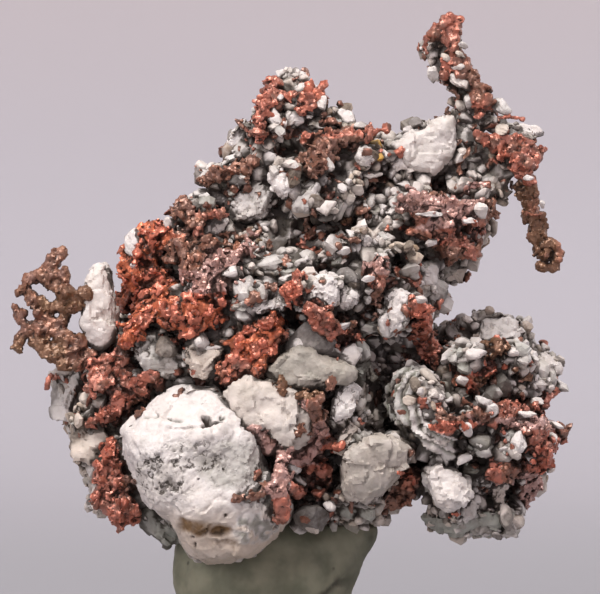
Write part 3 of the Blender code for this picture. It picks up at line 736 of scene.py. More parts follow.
class Board:
    """A material's node tree, with the Principled shader that it ends in."""

    def __init__(self, name: str, **constants: float | tuple[float, ...]) -> None:
        """Starts a material and sets the shader's constant sockets.

        Args:
            name: The material's name.
            **constants: Values of the shader's sockets, with _ for each space in a socket's name.
        """
        self.material = bpy.data.materials.new(name)
        self.material.use_nodes = True
        self.nodes = self.material.node_tree.nodes
        self.shader = self.nodes["Principled BSDF"]
        for socket, value in constants.items():
            self.shader.inputs[socket.replace("_", " ")].default_value = value
        self.place = self.add("ShaderNodeTexCoord", {}, {}, "Object")

    def add(self, kind: str, settings: dict[str, object], values: dict[int | str, object],
            output: int | str = 0) -> Wire:
        """Adds a node, sets it and feeds its sockets.

        Args:
            kind: The node's type.
            settings: Attributes of the node, which are set first.
            values: A constant or a Wire for each socket, by number or name.
            output: Number or name of the output that is handed back.

        Returns:
            The output, as a Wire.
        """
        node = self.nodes.new(kind)
        for setting, value in settings.items():
            setattr(node, setting, value)
        for socket, value in values.items():
            self.feed(node.inputs[socket], value)
        return Wire(self, node.outputs[output])

    def feed(self, socket: bpy.types.NodeSocket, value: object) -> None:
        """Links a Wire to a socket, or sets the socket's constant."""
        if isinstance(value, Wire):
            self.material.node_tree.links.new(value.socket, socket)
        else:
            socket.default_value = value

    def mark(self, name: str) -> Wire:
        """The value of one of the mesh's marks."""
        return self.add("ShaderNodeAttribute", {"attribute_name": name}, {}, "Fac")

    def noise(self, size: float, detail: float = 3.0, rough: float = 0.55) -> Wire:
        """Noise from 0 to 1 whose blots are about so many millimetres wide."""
        return self.add("ShaderNodeTexNoise", {}, {
            "Vector": self.place, "Scale": 1.0 / (size * MM), "Detail": detail, "Roughness": rough})

    def specks(self, size: float) -> Wire:
        """Distance to the nearest of scattered dots, about so many millimetres apart, in those distances."""
        values = {"Vector": self.place, "Scale": 1.0 / (size * MM)}
        return self.add("ShaderNodeTexVoronoi", {}, values, "Distance")

    def mix(self, share: Wire | float, first: object, second: object) -> Wire:
        """A colour between first, at a share of 0, and second, at 1."""
        return self.add("ShaderNodeMix", {"data_type": "RGBA"}, {0: share, 6: first, 7: second}, 2)

    def bump(self, height: Wire, depth: float, strength: float = 1.0) -> Wire:
        """A normal from a height of 0 to 1 that stands for so many millimetres."""
        values = {"Height": height, "Distance": depth * MM, "Strength": strength}
        return self.add("ShaderNodeBump", {}, values)

    def finish(self, **sockets: Wire) -> bpy.types.Material:
        """Feeds the shader's varying sockets and hands back the material."""
        for socket, wire in sockets.items():
            self.feed(self.shader.inputs[socket.replace("_", " ")], wire)
        return self.material


Colour = tuple[float, float, float, float]


def paint(red: float, green: float, blue: float) -> Colour:
    """A linear colour, from its red, green and blue as seen on a screen, from 0 to 255."""
    shares = [channel / 255 for channel in (red, green, blue)]
    linear = [s / 12.92 if s <= 0.04045 else ((s + 0.055) / 1.055) ** 2.4 for s in shares]
    return (linear[0], linear[1], linear[2], 1.0)


# -------------------- Finishes


@dataclass(frozen=True)
class CalciteFinish:
    """Waxy calcite: white to cream or grey-green, with painted shade of dark brown in its crevices, pits and
    hollows.

    Attributes:
        white: Colour of the clean crystals.
        cream: Colour where warmth is high.
        yellow: Colour where warmth is highest.
        cool: Grey-green colour where warmth is low.
        dusk: Colour of the dull, dark crystals, and of the painted shade in hollows.
        ochre: Rusty stain near the copper and in the hollows.
        crevice_shade: Colour of the painted shade at the bottom of the crevices, in pits and at the roots of
            crystals.
        roughness: Roughness of the clean faces.
        depth: Share of the light that passes under the surface.
    """

    white: Colour = paint(216, 208, 204)
    cream: Colour = paint(198, 180, 162)
    yellow: Colour = paint(196, 150, 62)
    cool: Colour = paint(132, 138, 126)
    dusk: Colour = paint(140, 134, 124)
    ochre: Colour = paint(128, 100, 68)
    crevice_shade: Colour = paint(50, 40, 31)
    roughness: float = 0.46
    depth: float = 0.10

    def material(self, name: str, fine: float) -> bpy.types.Material:
        """Builds the finish.

        Args:
            name: The material's name.
            fine: Strength of the fine grain in the surface.

        Returns:
            The material. It reads the marks warmth, dusk, rust, ticks and crevice.
        """
        board = Board(name, Subsurface_Weight=self.depth, Subsurface_Scale=0.6 * MM,
                      Subsurface_Radius=(1.0, 0.85, 0.7), Specular_IOR_Level=0.4)
        blots, clouds, grain = board.noise(4.0), board.noise(1.6), board.noise(0.7)
        sand, dots, areas = board.noise(0.26, 2.0), board.noise(0.42, 1.0), board.noise(1.3, 1.0)
        warmth = board.mark("warmth") + 0.8 * (blots - 0.5)
        colour = board.mix(warmth.clamped(), self.white, self.cream)
        colour = board.mix((warmth - 1.2).clamped(), colour, self.yellow)
        colour = board.mix((warmth * -1.0).clamped(), colour, self.cool)
        dusk = board.mark("dusk") + 1.1 * (clouds - 0.52)
        colour = board.mix(dusk.clamped(), colour, self.dusk)
        rust = (board.mark("rust") + 0.9 * (grain - 0.66)).clamped()
        colour = board.mix(rust, colour, self.ochre)
        ticks = dots.step(0.52, 0.44) * areas.step(0.4, 0.6) * board.mark("ticks")
        # Painted shade: the crevice mark, with the fine pits, darkens the colour in crevices, pits, hollows and
        # at crystal roots.
        crevice = (board.mark("crevice") + 0.5 * (grain - 0.5) + 0.9 * ticks).step(0.15, 1.05)
        colour = board.mix(crevice * 0.85, colour, self.crevice_shade)
        rough = (self.roughness + 0.35 * (grain - 0.4) + 0.3 * crevice).clamped()
        return board.finish(
            Base_Color=colour,
            Roughness=rough,
            Normal=board.bump(clouds * 0.3 + grain * 0.4 + sand * 0.3 - ticks * 0.6, 0.26, fine),
        )


@dataclass(frozen=True)
class CopperFinish:
    """Native copper: bright orange to salmon where it is fresh, plum, olive and brown where it is tarnished.

    Attributes:
        bright: Colour of fresh copper.
        brown: Colour of dull copper.
        plum: Colour of the purple tarnish.
        olive: Colour of the greenish-brown tarnish.
        crevice_shade: Colour of the painted shade at the bottom of the crevices and hollows.
        roughness: Roughness of the fresh faces.
        metal: How metallic the fresh faces are.
    """

    bright: Colour = paint(216, 116, 78)
    brown: Colour = paint(116, 78, 60)
    plum: Colour = paint(194, 156, 148)
    olive: Colour = paint(122, 90, 66)
    crevice_shade: Colour = paint(46, 30, 22)
    roughness: float = 0.36
    metal: float = 0.58

    def material(self, name: str) -> bpy.types.Material:
        """Builds the finish. It reads the marks glow, plum, olive, bit and crevice; by crevice it paints shade
        into the hollows, darker and less metallic.

        Args:
            name: The material's name.

        Returns:
            The material.
        """
        board = Board(name, Specular_IOR_Level=0.5, Coat_Weight=0.4, Coat_Roughness=0.28)
        blots, clouds, grain = board.noise(2.2), board.noise(0.9), board.noise(0.3, 2.0)
        bit = board.mark("bit")
        glow = board.mark("glow") + 0.9 * (blots - 0.5) + 0.9 * (bit - 0.55)
        colour = board.mix(glow.clamped(), self.brown, self.bright)
        colour = board.mix((board.mark("plum") + 0.5 * (clouds - 0.5)).clamped(), colour, self.plum)
        colour = board.mix((board.mark("olive") + 0.5 * (bit - 0.5)).clamped(), colour, self.olive)
        # Painted shade: the crevice mark darkens the hollows and makes them less metallic.
        crevice = (board.mark("crevice") + 0.5 * (grain - 0.5)).step(0.15, 1.0)
        colour = board.mix(crevice * 0.9, colour, self.crevice_shade)
        rough = (self.roughness + 0.35 * (grain - 0.4) + 0.4 * crevice).clamped()
        return board.finish(
            Base_Color=colour,
            Roughness=rough,
            Metallic=(self.metal - 0.5 * crevice).clamped(),
            Normal=board.bump(clouds * 0.5 + grain * 0.5, 0.16, 0.8),
        )


@dataclass(frozen=True)
class PuttyFinish:
    """Dull grey-green putty, with dust and small dark specks, and painted shade in its fold and dents.

    Attributes:
        light: Colour of the pressed faces.
        dark: Colour of the darker blotches.
        speck_and_crease_shade: Colour of the grit pressed into it, and of the painted shade in the fold and the
            dents.
    """

    light: Colour = paint(144, 142, 121)
    dark: Colour = paint(104, 105, 87)
    speck_and_crease_shade: Colour = paint(60, 58, 50)

    def material(self, name: str) -> bpy.types.Material:
        """Builds the finish. It reads the mark crevice, by which it paints shade into the fold and the dents.
        """
        board = Board(name, Specular_IOR_Level=0.3, Subsurface_Weight=0.05, Subsurface_Scale=0.8 * MM)
        blots, grain = board.noise(5.0), board.noise(0.5)
        colour = board.mix(blots.step(0.3, 0.7), self.light, self.dark)
        specks = 1.0 - board.specks(2.6).step(0.06, 0.16)
        # Painted shade: the speck colour also goes into the fold and the dent bottoms by the crevice mark.
        colour = board.mix((specks * 0.7 + board.mark("crevice") * 0.8).clamped(), colour, self.speck_and_crease_shade)
        return board.finish(
            Base_Color=colour,
            Roughness=0.62 + 0.2 * (grain - 0.5),
            Normal=board.bump(grain * 0.5 + blots * 0.5, 0.1, 0.5),
        )


# -------------------- Calcite


class Tone(Enum):
    """Colour of a crystal, as its warmth and its dusk."""

    WHITE = (0.05, 0.0)
    CREAM = (0.60, 0.10)
    GREY = (-0.05, 0.30)
    GREEN = (-0.75, 0.35)
    SMOKE = (-0.50, 0.90)
    YELLOW = (2.2, 0.0)
    DULL = (0.62, 0.50)
    PEARL = (0.45, 0.22)
    MILK = (0.12, 0.14)
    # The dome's tone: its whole colour darkened as painted shade.
    DIM = (0.50, 0.78)


class Skin(Enum):
    """Relief of a larger crystal, as the strength of its chips."""

    PLAIN = 1.0
    SMOOTH = 0.25
    WORN = 0.62


@dataclass(frozen=True)
class Crystal:
    """A crystal seated on the front of the calcite.

    Attributes:
        x: Place across.
        z: Height.
        half_width: Half-width along its own level axis.
        half_height: Half-height along its own upright axis.
        proud: How far it stands out of what it grows on.
        tone: Its colour.
        lean: How far its top leans to the right, in degrees.
        crispness: How sharp its edges are, as a power.
    """

    x: float
    z: float
    half_width: float
    half_height: float
    proud: float
    tone: Tone = Tone.WHITE
    lean: float = 0.0
    crispness: float = 9.0

    @property
    def reach(self) -> float:
        """The larger of its half-sizes."""
        return max(self.half_width, self.half_height)


@dataclass(frozen=True)
class Slab:
    """A larger crystal given by its outline.

    Attributes:
        outline: Corners as x and z.
        proud: How far it stands out from the ground.
        depth: From its front to its back.
        lean: How far its front lies back for each millimetre of height.
        tone: Its colour.
        squareness: Power of its section: 2 is oval, and more is squarer.
        skin: Its relief.
    """

    outline: Line
    proud: float
    depth: float
    lean: float
    tone: Tone
    squareness: float
    skin: Skin = Skin.PLAIN


# Seated crystals, part by part of the specimen, each as the fields of a Crystal.
W, C, G, N, S = Tone.WHITE, Tone.CREAM, Tone.GREY, Tone.GREEN, Tone.SMOKE
Y, D, E, M = Tone.YELLOW, Tone.DULL, Tone.PEARL, Tone.MILK
CRYSTALS = {
    "below": [
        # The first row is the dome's shaded right side: a thin crystal toned grey-green as painted shade.
        (7.5, 36.4, 3.4, 1.9, 0.2, N, 0, 6), (8.7, 30.2, 0.8, 0.6, 1.4), (9.9, 32.4, 0.5, 0.5, 2.2),
        (9.5, 31.3, 0.6, 0.6, 1.4, G), (1.0, 24.1, 1.3, 0.6, 2.6, W, 10), (1.9, 22.5, 1.1, 0.6, 2.4, W, 25),
        (4.7, 20.8, 1.4, 0.6, 2.4, C, 40), (5.7, 19.2, 0.9, 0.6, 2.2, W, 35),
        (3.3, 17.4, 1.3, 1.7, 2.0, C, 0, 6), (0.3, 15.8, 0.4, 0.4, 2.0), (1.0, 18.8, 0.6, 1.4, 2.4, N, 20),
        (8.2, 19.0, 2.0, 1.4, 0.8, N, 0, 7), (10.8, 18.4, 1.4, 1.0, 0.8, N, 0, 7),
        (10.8, 40.3, 1.7, 1.1, 0.8, G), (5.0, 39.2, 2.4, 1.2, 1.0, G, 15), (3.4, 40.7, 0.9, 1.2, 1.2, G),
    ],
    "centre": [
        (7.5, 42.2, 1.6, 0.5, 1.4, W, -15), (9.2, 48.4, 0.8, 0.5, 1.2, G), (2.4, 43.2, 0.7, 0.5, 2.0, W, 20),
        (13.0, 42.3, 1.0, 1.6, 1.6, W, -10, 8), (15.4, 40.9, 0.8, 0.8, 1.2, G),
        (11.0, 43.5, 0.9, 0.7, 1.6, W, 10), (10.2, 44.3, 0.6, 1.0, 1.4, G), (11.2, 41.9, 1.5, 0.9, 1.2, G),
        (10.6, 45.5, 0.6, 0.6, 1.6), (10.7, 46.7, 0.6, 0.5, 1.6), (10.6, 48.2, 0.9, 0.4, 1.6, W, -10),
        (12.9, 50.0, 0.4, 0.7, 2.0), (18.2, 48.8, 1.8, 1.9, 1.2, W, 0, 8), (19.3, 46.8, 1.7, 1.8, 0.9, G, 20),
        (17.3, 47.5, 0.7, 0.6, 1.6), (17.3, 45.6, 0.7, 0.5, 1.6), (19.1, 44.0, 0.9, 0.8, 1.2),
        (22.0, 48.8, 1.9, 1.0, 0.6, C, -10), (16.9, 53.4, 1.3, 0.5, 1.8, W, -10),
        (18.8, 52.9, 0.9, 0.5, 2.0, W, -25), (17.4, 51.5, 1.0, 0.5, 1.8), (13.2, 53.2, 1.3, 1.3, 1.2, G),
        (12.5, 51.0, 0.6, 0.5, 1.8, G), (6.2, 52.6, 1.3, 1.4, 1.0, G), (7.4, 51.8, 1.0, 0.6, 1.5, W, -15),
        (6.7, 53.6, 0.9, 0.5, 1.5), (5.9, 54.7, 0.7, 0.6, 1.6, C), (7.5, 55.0, 0.8, 0.6, 1.5, C),
        (8.0, 55.9, 1.0, 0.4, 1.5), (6.8, 50.3, 0.9, 0.9, 1.1, N), (4.5, 49.6, 2.3, 1.0, 0.7, N, -10),
        (9.0, 49.6, 1.5, 1.0, 0.8, G), (10.8, 52.7, 0.8, 1.3, 1.1, G, -30),
        (-1.5, 50.1, 3.0, 1.3, 0.8, G, -10, 8), (2.0, 50.3, 0.9, 0.5, 1.5, G, -20),
        (-2.2, 48.2, 1.9, 1.3, 1.0), (0.4, 48.1, 1.3, 0.9, 1.2, W, -25), (-4.8, 46.6, 1.6, 2.2, 0.8, G),
        (-6.0, 43.6, 1.5, 1.3, 0.9, G),
    ],
    "upper": [
        (10.8, 55.8, 1.2, 0.8, 1.2, G), (11.0, 61.7, 1.5, 0.6, 1.3, W, 8), (14.6, 63.3, 1.0, 1.1, 1.3, W, 20),
        (17.5, 61.6, 1.3, 0.6, 1.0, G), (18.5, 56.5, 1.8, 0.4, 1.6), (25.2, 57.0, 0.9, 1.0, 1.4),
        (23.8, 55.7, 1.0, 0.4, 1.8), (25.2, 58.7, 0.8, 0.9, 1.2), (22.5, 62.0, 1.6, 1.2, 1.0, G, 0, 8),
        (24.5, 63.5, 1.6, 1.3, 0.9, G, 0, 8), (12.3, 63.9, 0.5, 0.5, 1.8, Y, 0, 12),
        (8.0, 64.4, 1.6, 1.4, 0.5, N, 0, 8), (0.3, 66.3, 1.0, 1.4, 0.6, N), (0.5, 69.2, 0.5, 0.8, 1.3, G),
        (0.5, 70.5, 1.0, 0.6, 1.3, C, -10), (-0.6, 71.6, 0.4, 0.4, 1.9), (4.6, 71.0, 0.9, 1.1, 0.8, W, 0, 12),
        (6.1, 69.6, 1.1, 1.1, 0.9, G, 0, 12), (8.0, 69.1, 1.5, 1.0, 0.8, W, 25, 14),
        (9.8, 68.0, 1.0, 0.6, 0.9, G), (-9.8, 62.7, 1.1, 0.7, 0.8), (-10.8, 59.2, 1.1, 0.8, 0.8, G),
        (-14.8, 55.3, 0.9, 1.0, 0.8), (-5.8, 55.6, 1.0, 1.7, 1.1, G, -25), (-3.8, 56.0, 0.5, 0.9, 1.6, W, 10),
        (-4.3, 54.5, 0.6, 0.4, 1.7), (-2.0, 59.2, 0.35, 0.5, 1.8), (-0.4, 63.6, 0.7, 0.4, 1.4, W, -20),
        (5.6, 62.9, 0.8, 1.0, 1.2, G), (3.6, 59.0, 0.7, 1.7, 1.2, W, 15), (7.4, 59.8, 0.7, 0.7, 1.5),
        (8.2, 60.7, 0.5, 0.5, 1.5), (8.2, 57.1, 0.7, 0.5, 1.4), (0.9, 73.0, 1.5, 1.7, 0.2, C, 0, 7),
    ],
    "left": [
        (-7.0, 48.8, 1.1, 0.8, 1.6, W, -20), (-13.7, 46.7, 0.9, 0.9, 2.4, W, 0, 12),
        (-19.5, 50.0, 0.5, 0.4, 2.4), (-9.4, 39.4, 1.3, 0.4, 1.8), (-12.8, 35.0, 1.3, 0.75, 1.8, W, 0, 7),
        (-19.4, 52.8, 1.5, 2.0, 0.6, W, 20, 6), (-28.2, 33.3, 2.3, 3.6, 0.5, W, 0, 7),
        (-24.8, 27.4, 2.9, 3.6, 0.8, C, 0, 8), (-16.0, 17.0, 2.6, 3.5, 0.6, N, -30, 8),
        (-18.9, 36.0, 1.0, 0.7, 1.4, G),
    ],
    "lobe": [
        (18.2, 35.9, 0.75, 0.6, 1.9, G, 0, 6), (17.2, 33.9, 0.5, 0.5, 2.0), (16.0, 32.9, 1.0, 0.8, 1.4, C),
        (20.7, 34.0, 1.3, 1.0, 1.2, S, 0, 8), (20.5, 32.7, 1.1, 0.5, 1.5, G, -15),
        (22.7, 35.2, 0.8, 0.7, 1.6), (25.3, 32.5, 1.1, 0.8, 1.5, W, 40), (26.5, 31.3, 0.9, 1.0, 1.5),
        (25.5, 34.1, 1.5, 0.9, 1.0, N, 0, 8), (28.5, 35.0, 1.3, 0.9, 1.4), (28.6, 33.7, 0.9, 0.6, 1.4),
        (30.5, 34.2, 0.6, 0.5, 1.5, C, 20), (30.7, 32.9, 0.7, 0.5, 1.5), (23.0, 29.0, 0.8, 1.0, 1.6, W, -10),
        (24.8, 29.3, 1.2, 0.8, 1.2, G, -20), (28.4, 28.6, 1.1, 0.8, 1.5, W, -30),
        (29.9, 27.3, 1.0, 1.6, 1.5, W, 15), (25.3, 26.3, 1.3, 1.1, 1.1, G, 0, 8),
        (22.8, 25.3, 1.1, 0.6, 1.6, W, -20), (23.0, 27.2, 0.5, 0.5, 1.6), (31.0, 30.9, 1.2, 0.45, 1.6),
        (31.5, 25.5, 0.7, 0.9, 1.6, W, -30), (34.2, 28.0, 0.7, 1.0, 1.3, W, -40),
        (35.0, 29.4, 1.0, 0.4, 1.0, W, 20), (23.5, 23.7, 1.6, 0.8, 1.0, N, 0, 8),
        (25.7, 22.0, 0.8, 0.6, 1.4, G), (25.6, 20.8, 0.5, 0.5, 1.5), (27.0, 19.2, 2.0, 1.0, 1.0, N, 0, 8),
        (29.4, 21.8, 0.6, 0.7, 1.5), (30.5, 22.2, 0.6, 0.7, 1.5), (30.5, 20.9, 0.7, 0.4, 1.4, W, -20),
        (19.2, 17.1, 1.3, 1.0, 0.8, N, 0, 7), (29.4, 16.8, 1.5, 1.2, 0.4, C, 0, 8),
        (22.7, 41.2, 1.8, 1.5, 0.7, G, 0, 7), (21.0, 39.0, 0.8, 0.7, 1.4), (24.5, 38.6, 1.4, 0.7, 1.4),
        (29.5, 38.8, 1.0, 0.6, 1.4, W, 10), (30.7, 37.8, 0.8, 0.8, 1.3, G),
        (23.2, 37.1, 1.3, 0.6, 1.4, W, -15), (32.7, 34.8, 1.2, 1.1, 1.1, W, 0, 7),
        (30.0, 40.3, 0.8, 0.6, 1.6), (32.5, 32.5, 0.9, 0.5, 1.4), (17.0, 20.7, 0.9, 1.0, 1.4, G, 40),
        (14.0, 22.1, 0.6, 0.4, 1.8, C),
    ],
    "arm": [
        (22.9, 73.9, 1.9, 0.9, 0.9, W, 28, 10), (22.4, 75.7, 0.9, 0.5, 0.8), (21.0, 76.9, 0.8, 0.7, 0.8, C),
        (22.7, 77.2, 0.8, 0.5, 0.8, C, 10), (23.1, 78.5, 0.7, 0.4, 0.8, G, 30),
        (19.1, 74.7, 0.7, 1.1, 0.6, G), (19.5, 77.4, 0.8, 0.8, 0.6), (28.0, 70.5, 1.5, 0.9, 0.6, W, 30, 8),
        (31.3, 67.7, 2.7, 0.9, 0.6, W, 10, 8), (28.0, 67.6, 0.9, 0.9, 0.8, C), (23.2, 66.5, 1.4, 1.5, 0.8, G),
        (25.8, 62.3, 1.2, 1.4, 0.8, G), (23.4, 69.1, 1.0, 1.0, 0.8, G), (31.4, 61.3, 0.7, 0.4, 1.5, W, -15),
        (33.3, 57.9, 0.4, 0.6, 1.3),
    ],
}


# Larger crystals by their outlines, each as the fields of a Slab.
OUTLINED = (
    (((-2.3, 36.8), (-0.6, 38.3), (1.2, 39.5), (3.2, 39.5), (5.2, 38.0), (7.6, 37.3), (9.6, 36.6),
      (8.8, 35.2), (5.8, 34.9), (2.6, 34.2), (-0.7, 34.5)), 2.0, 6.0, 0.05, Tone.DIM, 3.6, Skin.WORN),
    (((-7.1, 34.6), (-4.0, 35.6), (-1.6, 35.4), (1.2, 34.4), (4.4, 33.4), (4.6, 31.2), (3.6, 29.2),
      (2.4, 27.4), (-0.3, 26.4), (-2.6, 27.8), (-4.7, 28.6), (-6.2, 29.8), (-7.2, 32.0)),
      3.6, 8.0, 0.12, E, 4.0, Skin.WORN),
    (((5.8, 31.0), (6.9, 34.4), (8.0, 34.9), (9.3, 34.0), (9.1, 32.1), (8.2, 30.7), (6.3, 29.9)),
      1.8, 4.0, 0.15, W, 3.4),
    (((8.2, 30.3), (9.3, 29.2), (9.1, 27.7), (7.6, 25.8), (6.3, 26.4), (6.9, 28.6)), 1.2, 3.5, 0.1, C, 2.8),
    (((7.2, 24.7), (8.6, 26.8), (10.9, 28.2), (13.6, 28.3), (16.2, 26.6), (15.2, 24.3), (13.9, 22.6),
      (12.3, 20.8), (9.9, 19.3), (7.8, 20.8), (7.3, 22.8)), 2.2, 8.0, -0.15, D, 3.6, Skin.WORN),
    (((18.1, 23.9), (19.5, 24.8), (21.4, 24.0), (23.0, 22.8), (24.2, 20.8), (22.6, 19.5), (21.3, 18.6),
      (19.3, 19.3), (18.5, 21.6)), 1.6, 5.5, 0.25, W, 2.8),
    (((22.4, 19.2), (23.4, 20.3), (24.8, 19.3), (24.6, 17.7), (23.0, 17.0)), 1.3, 3.2, 0.1, G, 2.8),
    (((27.3, 23.2), (28.3, 23.7), (28.6, 21.5), (28.4, 19.2), (27.0, 18.2), (26.8, 20.5)),
      1.3, 3.0, 0.1, C, 3),
    (((17.8, 17.9), (21.5, 17.7), (26.5, 18.2), (29.6, 17.9), (28.2, 15.2), (24.6, 14.9), (21.0, 15.4),
      (18.7, 16.4)), 0.5, 6.0, -0.3, N, 2.6),
    (((9.6, 40.2), (11.7, 41.2), (13.6, 40.2), (13.2, 38.2), (12.6, 37.0), (11.2, 37.8)),
      0.9, 4.0, 0.1, G, 3),
    (((6.8, 38.3), (7.4, 39.7), (8.8, 39.9), (9.8, 38.5), (8.6, 36.8), (7.2, 37.0)),
      1.7, 2.8, 0.1, W, 4.0, Skin.SMOOTH),
    (((9.8, 38.1), (10.7, 37.8), (11.8, 35.6), (11.2, 35.0), (10.3, 35.8)), 1.6, 2.2, 0.2, S, 4.0),
    (((14.2, 39.8), (15.4, 39.6), (16.2, 38.3), (15.6, 37.3), (14.6, 38.2)), 1.0, 2.4, 0.1, G, 3.0),
    (((12.7, 46.1), (14.0, 46.8), (15.2, 46.9), (16.8, 45.4), (15.5, 43.0), (15.0, 41.5), (13.3, 40.9),
      (12.2, 42.2), (13.0, 43.8)), 1.4, 4.5, 0.15, W, 3.0),
    (((2.5, 47.8), (4.8, 49.0), (6.6, 48.4), (6.9, 46.0), (6.2, 44.6), (4.8, 45.2), (2.8, 45.2)),
      1.2, 5.0, 0.35, W, 2.8),
    (((6.6, 47.6), (9.0, 47.9), (9.9, 46.2), (8.6, 44.6), (6.6, 44.4), (6.2, 46.0)), 1.5, 5.0, 0.3, W, 2.8),
    (((-26.3, 44.8), (-26.0, 47.5), (-25.0, 49.7), (-23.6, 50.2), (-22.6, 49.3), (-22.0, 46.5), (-21.8, 43.0),
      (-22.0, 40.0), (-23.8, 39.0), (-25.6, 39.9), (-26.5, 42.4)), 1.7, 6.5, 0.10, W, 3.8, Skin.WORN),
    (((-18.6, 41.0), (-16.8, 41.7), (-13.4, 41.0), (-12.6, 38.8), (-12.6, 37.2), (-14.3, 35.9), (-17.6, 36.2),
      (-19.0, 38.1)), 1.2, 5.5, 0.2, G, 2.8),
    (((-12.6, 39.4), (-10.0, 39.8), (-7.8, 39.2), (-8.8, 36.8), (-9.8, 35.0), (-11.6, 36.2)),
      1.4, 4.0, 0.2, C, 3),
    (((-2.6, 46.2), (-0.2, 46.6), (0.3, 44.8), (-1.6, 43.9), (-3.6, 43.8), (-4.4, 45.0)),
      1.2, 4.0, 0.5, W, 2.8),
    (((-6.2, 60.0), (-4.3, 61.5), (-2.2, 61.1), (-1.7, 58.6), (-2.9, 55.8), (-6.4, 55.6), (-7.3, 57.2),
      (-6.4, 58.6)), 1.1, 5.0, 0.25, G, 2.6),
    (((-1.8, 61.4), (-0.5, 62.7), (1.1, 62.5), (1.7, 60.8), (0.3, 58.8), (-1.5, 59.8)),
      1.7, 4.0, 0.3, W, 2.8),
    (((0.6, 59.6), (2.2, 60.5), (3.8, 60.7), (4.3, 58.9), (3.0, 56.8), (1.1, 57.0)), 1.2, 3.6, 0.2, G, 2.8),
    (((3.8, 57.2), (5.1, 58.3), (6.7, 58.1), (5.4, 56.2)), 2.0, 2.4, 0.1, W, 4.0, Skin.SMOOTH),
    (((7.8, 54.5), (8.9, 54.4), (9.8, 53.0), (10.5, 51.6), (10.1, 50.7), (8.6, 52.0)),
      1.7, 2.4, 0.1, W, 3.0, Skin.SMOOTH),
    (((9.0, 58.2), (10.8, 57.2), (12.2, 55.8), (11.3, 54.9), (10.2, 55.1)), 1.2, 2.6, 0.1, G, 3.2),
    (((14.0, 60.6), (15.8, 61.2), (17.2, 60.3), (15.5, 59.8)), 1.5, 2.2, 0.2, W, 2.6, Skin.SMOOTH),
    (((12.8, 56.8), (14.1, 58.0), (15.0, 57.1), (13.7, 55.7)), 1.6, 2.4, 0.1, W, 2.8),
    (((9.1, 64.1), (10.3, 65.5), (11.8, 64.1), (11.0, 62.5), (9.6, 62.8)), 1.7, 2.8, 0.1, W, 3.6),
    (((11.0, 66.0), (12.2, 66.3), (12.8, 65.2), (11.8, 64.6)), 1.9, 2.0, 0.1, Y, 4.0, Skin.SMOOTH),
    (((13.2, 63.8), (15.1, 64.2), (16.2, 62.4), (14.4, 62.0)), 1.4, 2.6, 0.1, W, 3.0),
    (((1.4, 67.6), (3.7, 69.8), (5.8, 68.6), (7.6, 67.2), (5.8, 65.9), (3.0, 65.7)), 1.0, 4.5, 0.3, W, 2.8),
    (((-2.4, 68.8), (-1.5, 70.6), (0.0, 68.3), (-0.7, 67.4)), 1.6, 2.0, 0.1, W, 4.0, Skin.SMOOTH),
    (((-2.3, 67.0), (-0.6, 67.2), (-0.8, 65.1), (-2.0, 65.2)), 1.3, 2.2, 0.1, C, 3.4),
    (((-7.2, 66.6), (-5.2, 68.9), (-4.5, 66.6), (-5.0, 65.1), (-7.4, 65.4)), 1.0, 3.2, 0.2, W, 3.0),
    (((-7.7, 64.0), (-5.0, 64.9), (-5.2, 63.4), (-7.4, 63.2)), 1.4, 2.6, 0.3, W, 2.8),
    (((-10.4, 59.3), (-8.8, 59.9), (-7.1, 58.6), (-7.9, 57.4), (-9.8, 58.1)), 1.3, 2.6, 0.2, W, 2.8),
    (((-13.3, 57.9), (-11.6, 58.0), (-10.9, 56.5), (-11.9, 55.4), (-13.1, 56.4)), 1.3, 2.6, 0.2, W, 2.8),
    (((-11.0, 54.1), (-9.8, 56.4), (-7.2, 55.7), (-7.8, 54.2), (-10.2, 52.9)), 1.3, 2.8, 0.2, W, 2.8),
    (((13.9, 65.6), (16.9, 67.6), (19.4, 68.6), (21.9, 69.5), (22.2, 67.6), (21.6, 64.0), (20.2, 62.1),
      (18.2, 61.4), (16.3, 62.4), (15.0, 64.3)), 2.0, 5.0, 0.05, M, 4.4, Skin.WORN),
    (((24.4, 41.0), (25.8, 42.7), (28.2, 43.6), (30.4, 43.2), (31.6, 41.8), (31.2, 40.2), (28.6, 39.6),
      (25.6, 39.8)), 2.6, 5.5, 0.50, W, 3.0),
    (((32.4, 38.0), (33.8, 38.8), (35.2, 37.8), (36.0, 36.2), (34.8, 35.2), (32.8, 35.6)),
      2.0, 4.0, 0.3, W, 3),
)

# Gaps between the crystals, sunk and darkened with painted shade: middle as x and z, half-width, half-height
# and how deep each goes.
CAVITIES = (
    (0.9, 43.0, 1.5, 1.9, 2.6), (2.8, 55.2, 1.8, 1.8, 2.4), (-0.6, 56.0, 1.2, 2.6, 1.8),
    (0.8, 52.3, 3.6, 1.5, 1.0), (14.5, 51.0, 1.4, 1.0, 2.2), (12.6, 33.4, 1.9, 3.2, 2.6),
    (20.2, 60.0, 1.6, 1.3, 2.2), (6.8, 61.5, 1.3, 1.5, 2.0), (-12.8, 50.9, 2.6, 1.4, 1.4),
    (0.6, 64.6, 1.4, 1.2, 1.6), (22.0, 50.5, 2.4, 0.9, 1.2), (11.6, 45.0, 0.8, 2.0, 1.4),
    (24.8, 24.9, 1.6, 0.8, 1.2), (16.8, 29.6, 0.8, 0.9, 0.6), (17.2, 24.6, 1.4, 1.0, 1.4),
    (3.6, 51.9, 1.6, 0.6, 1.2),
)


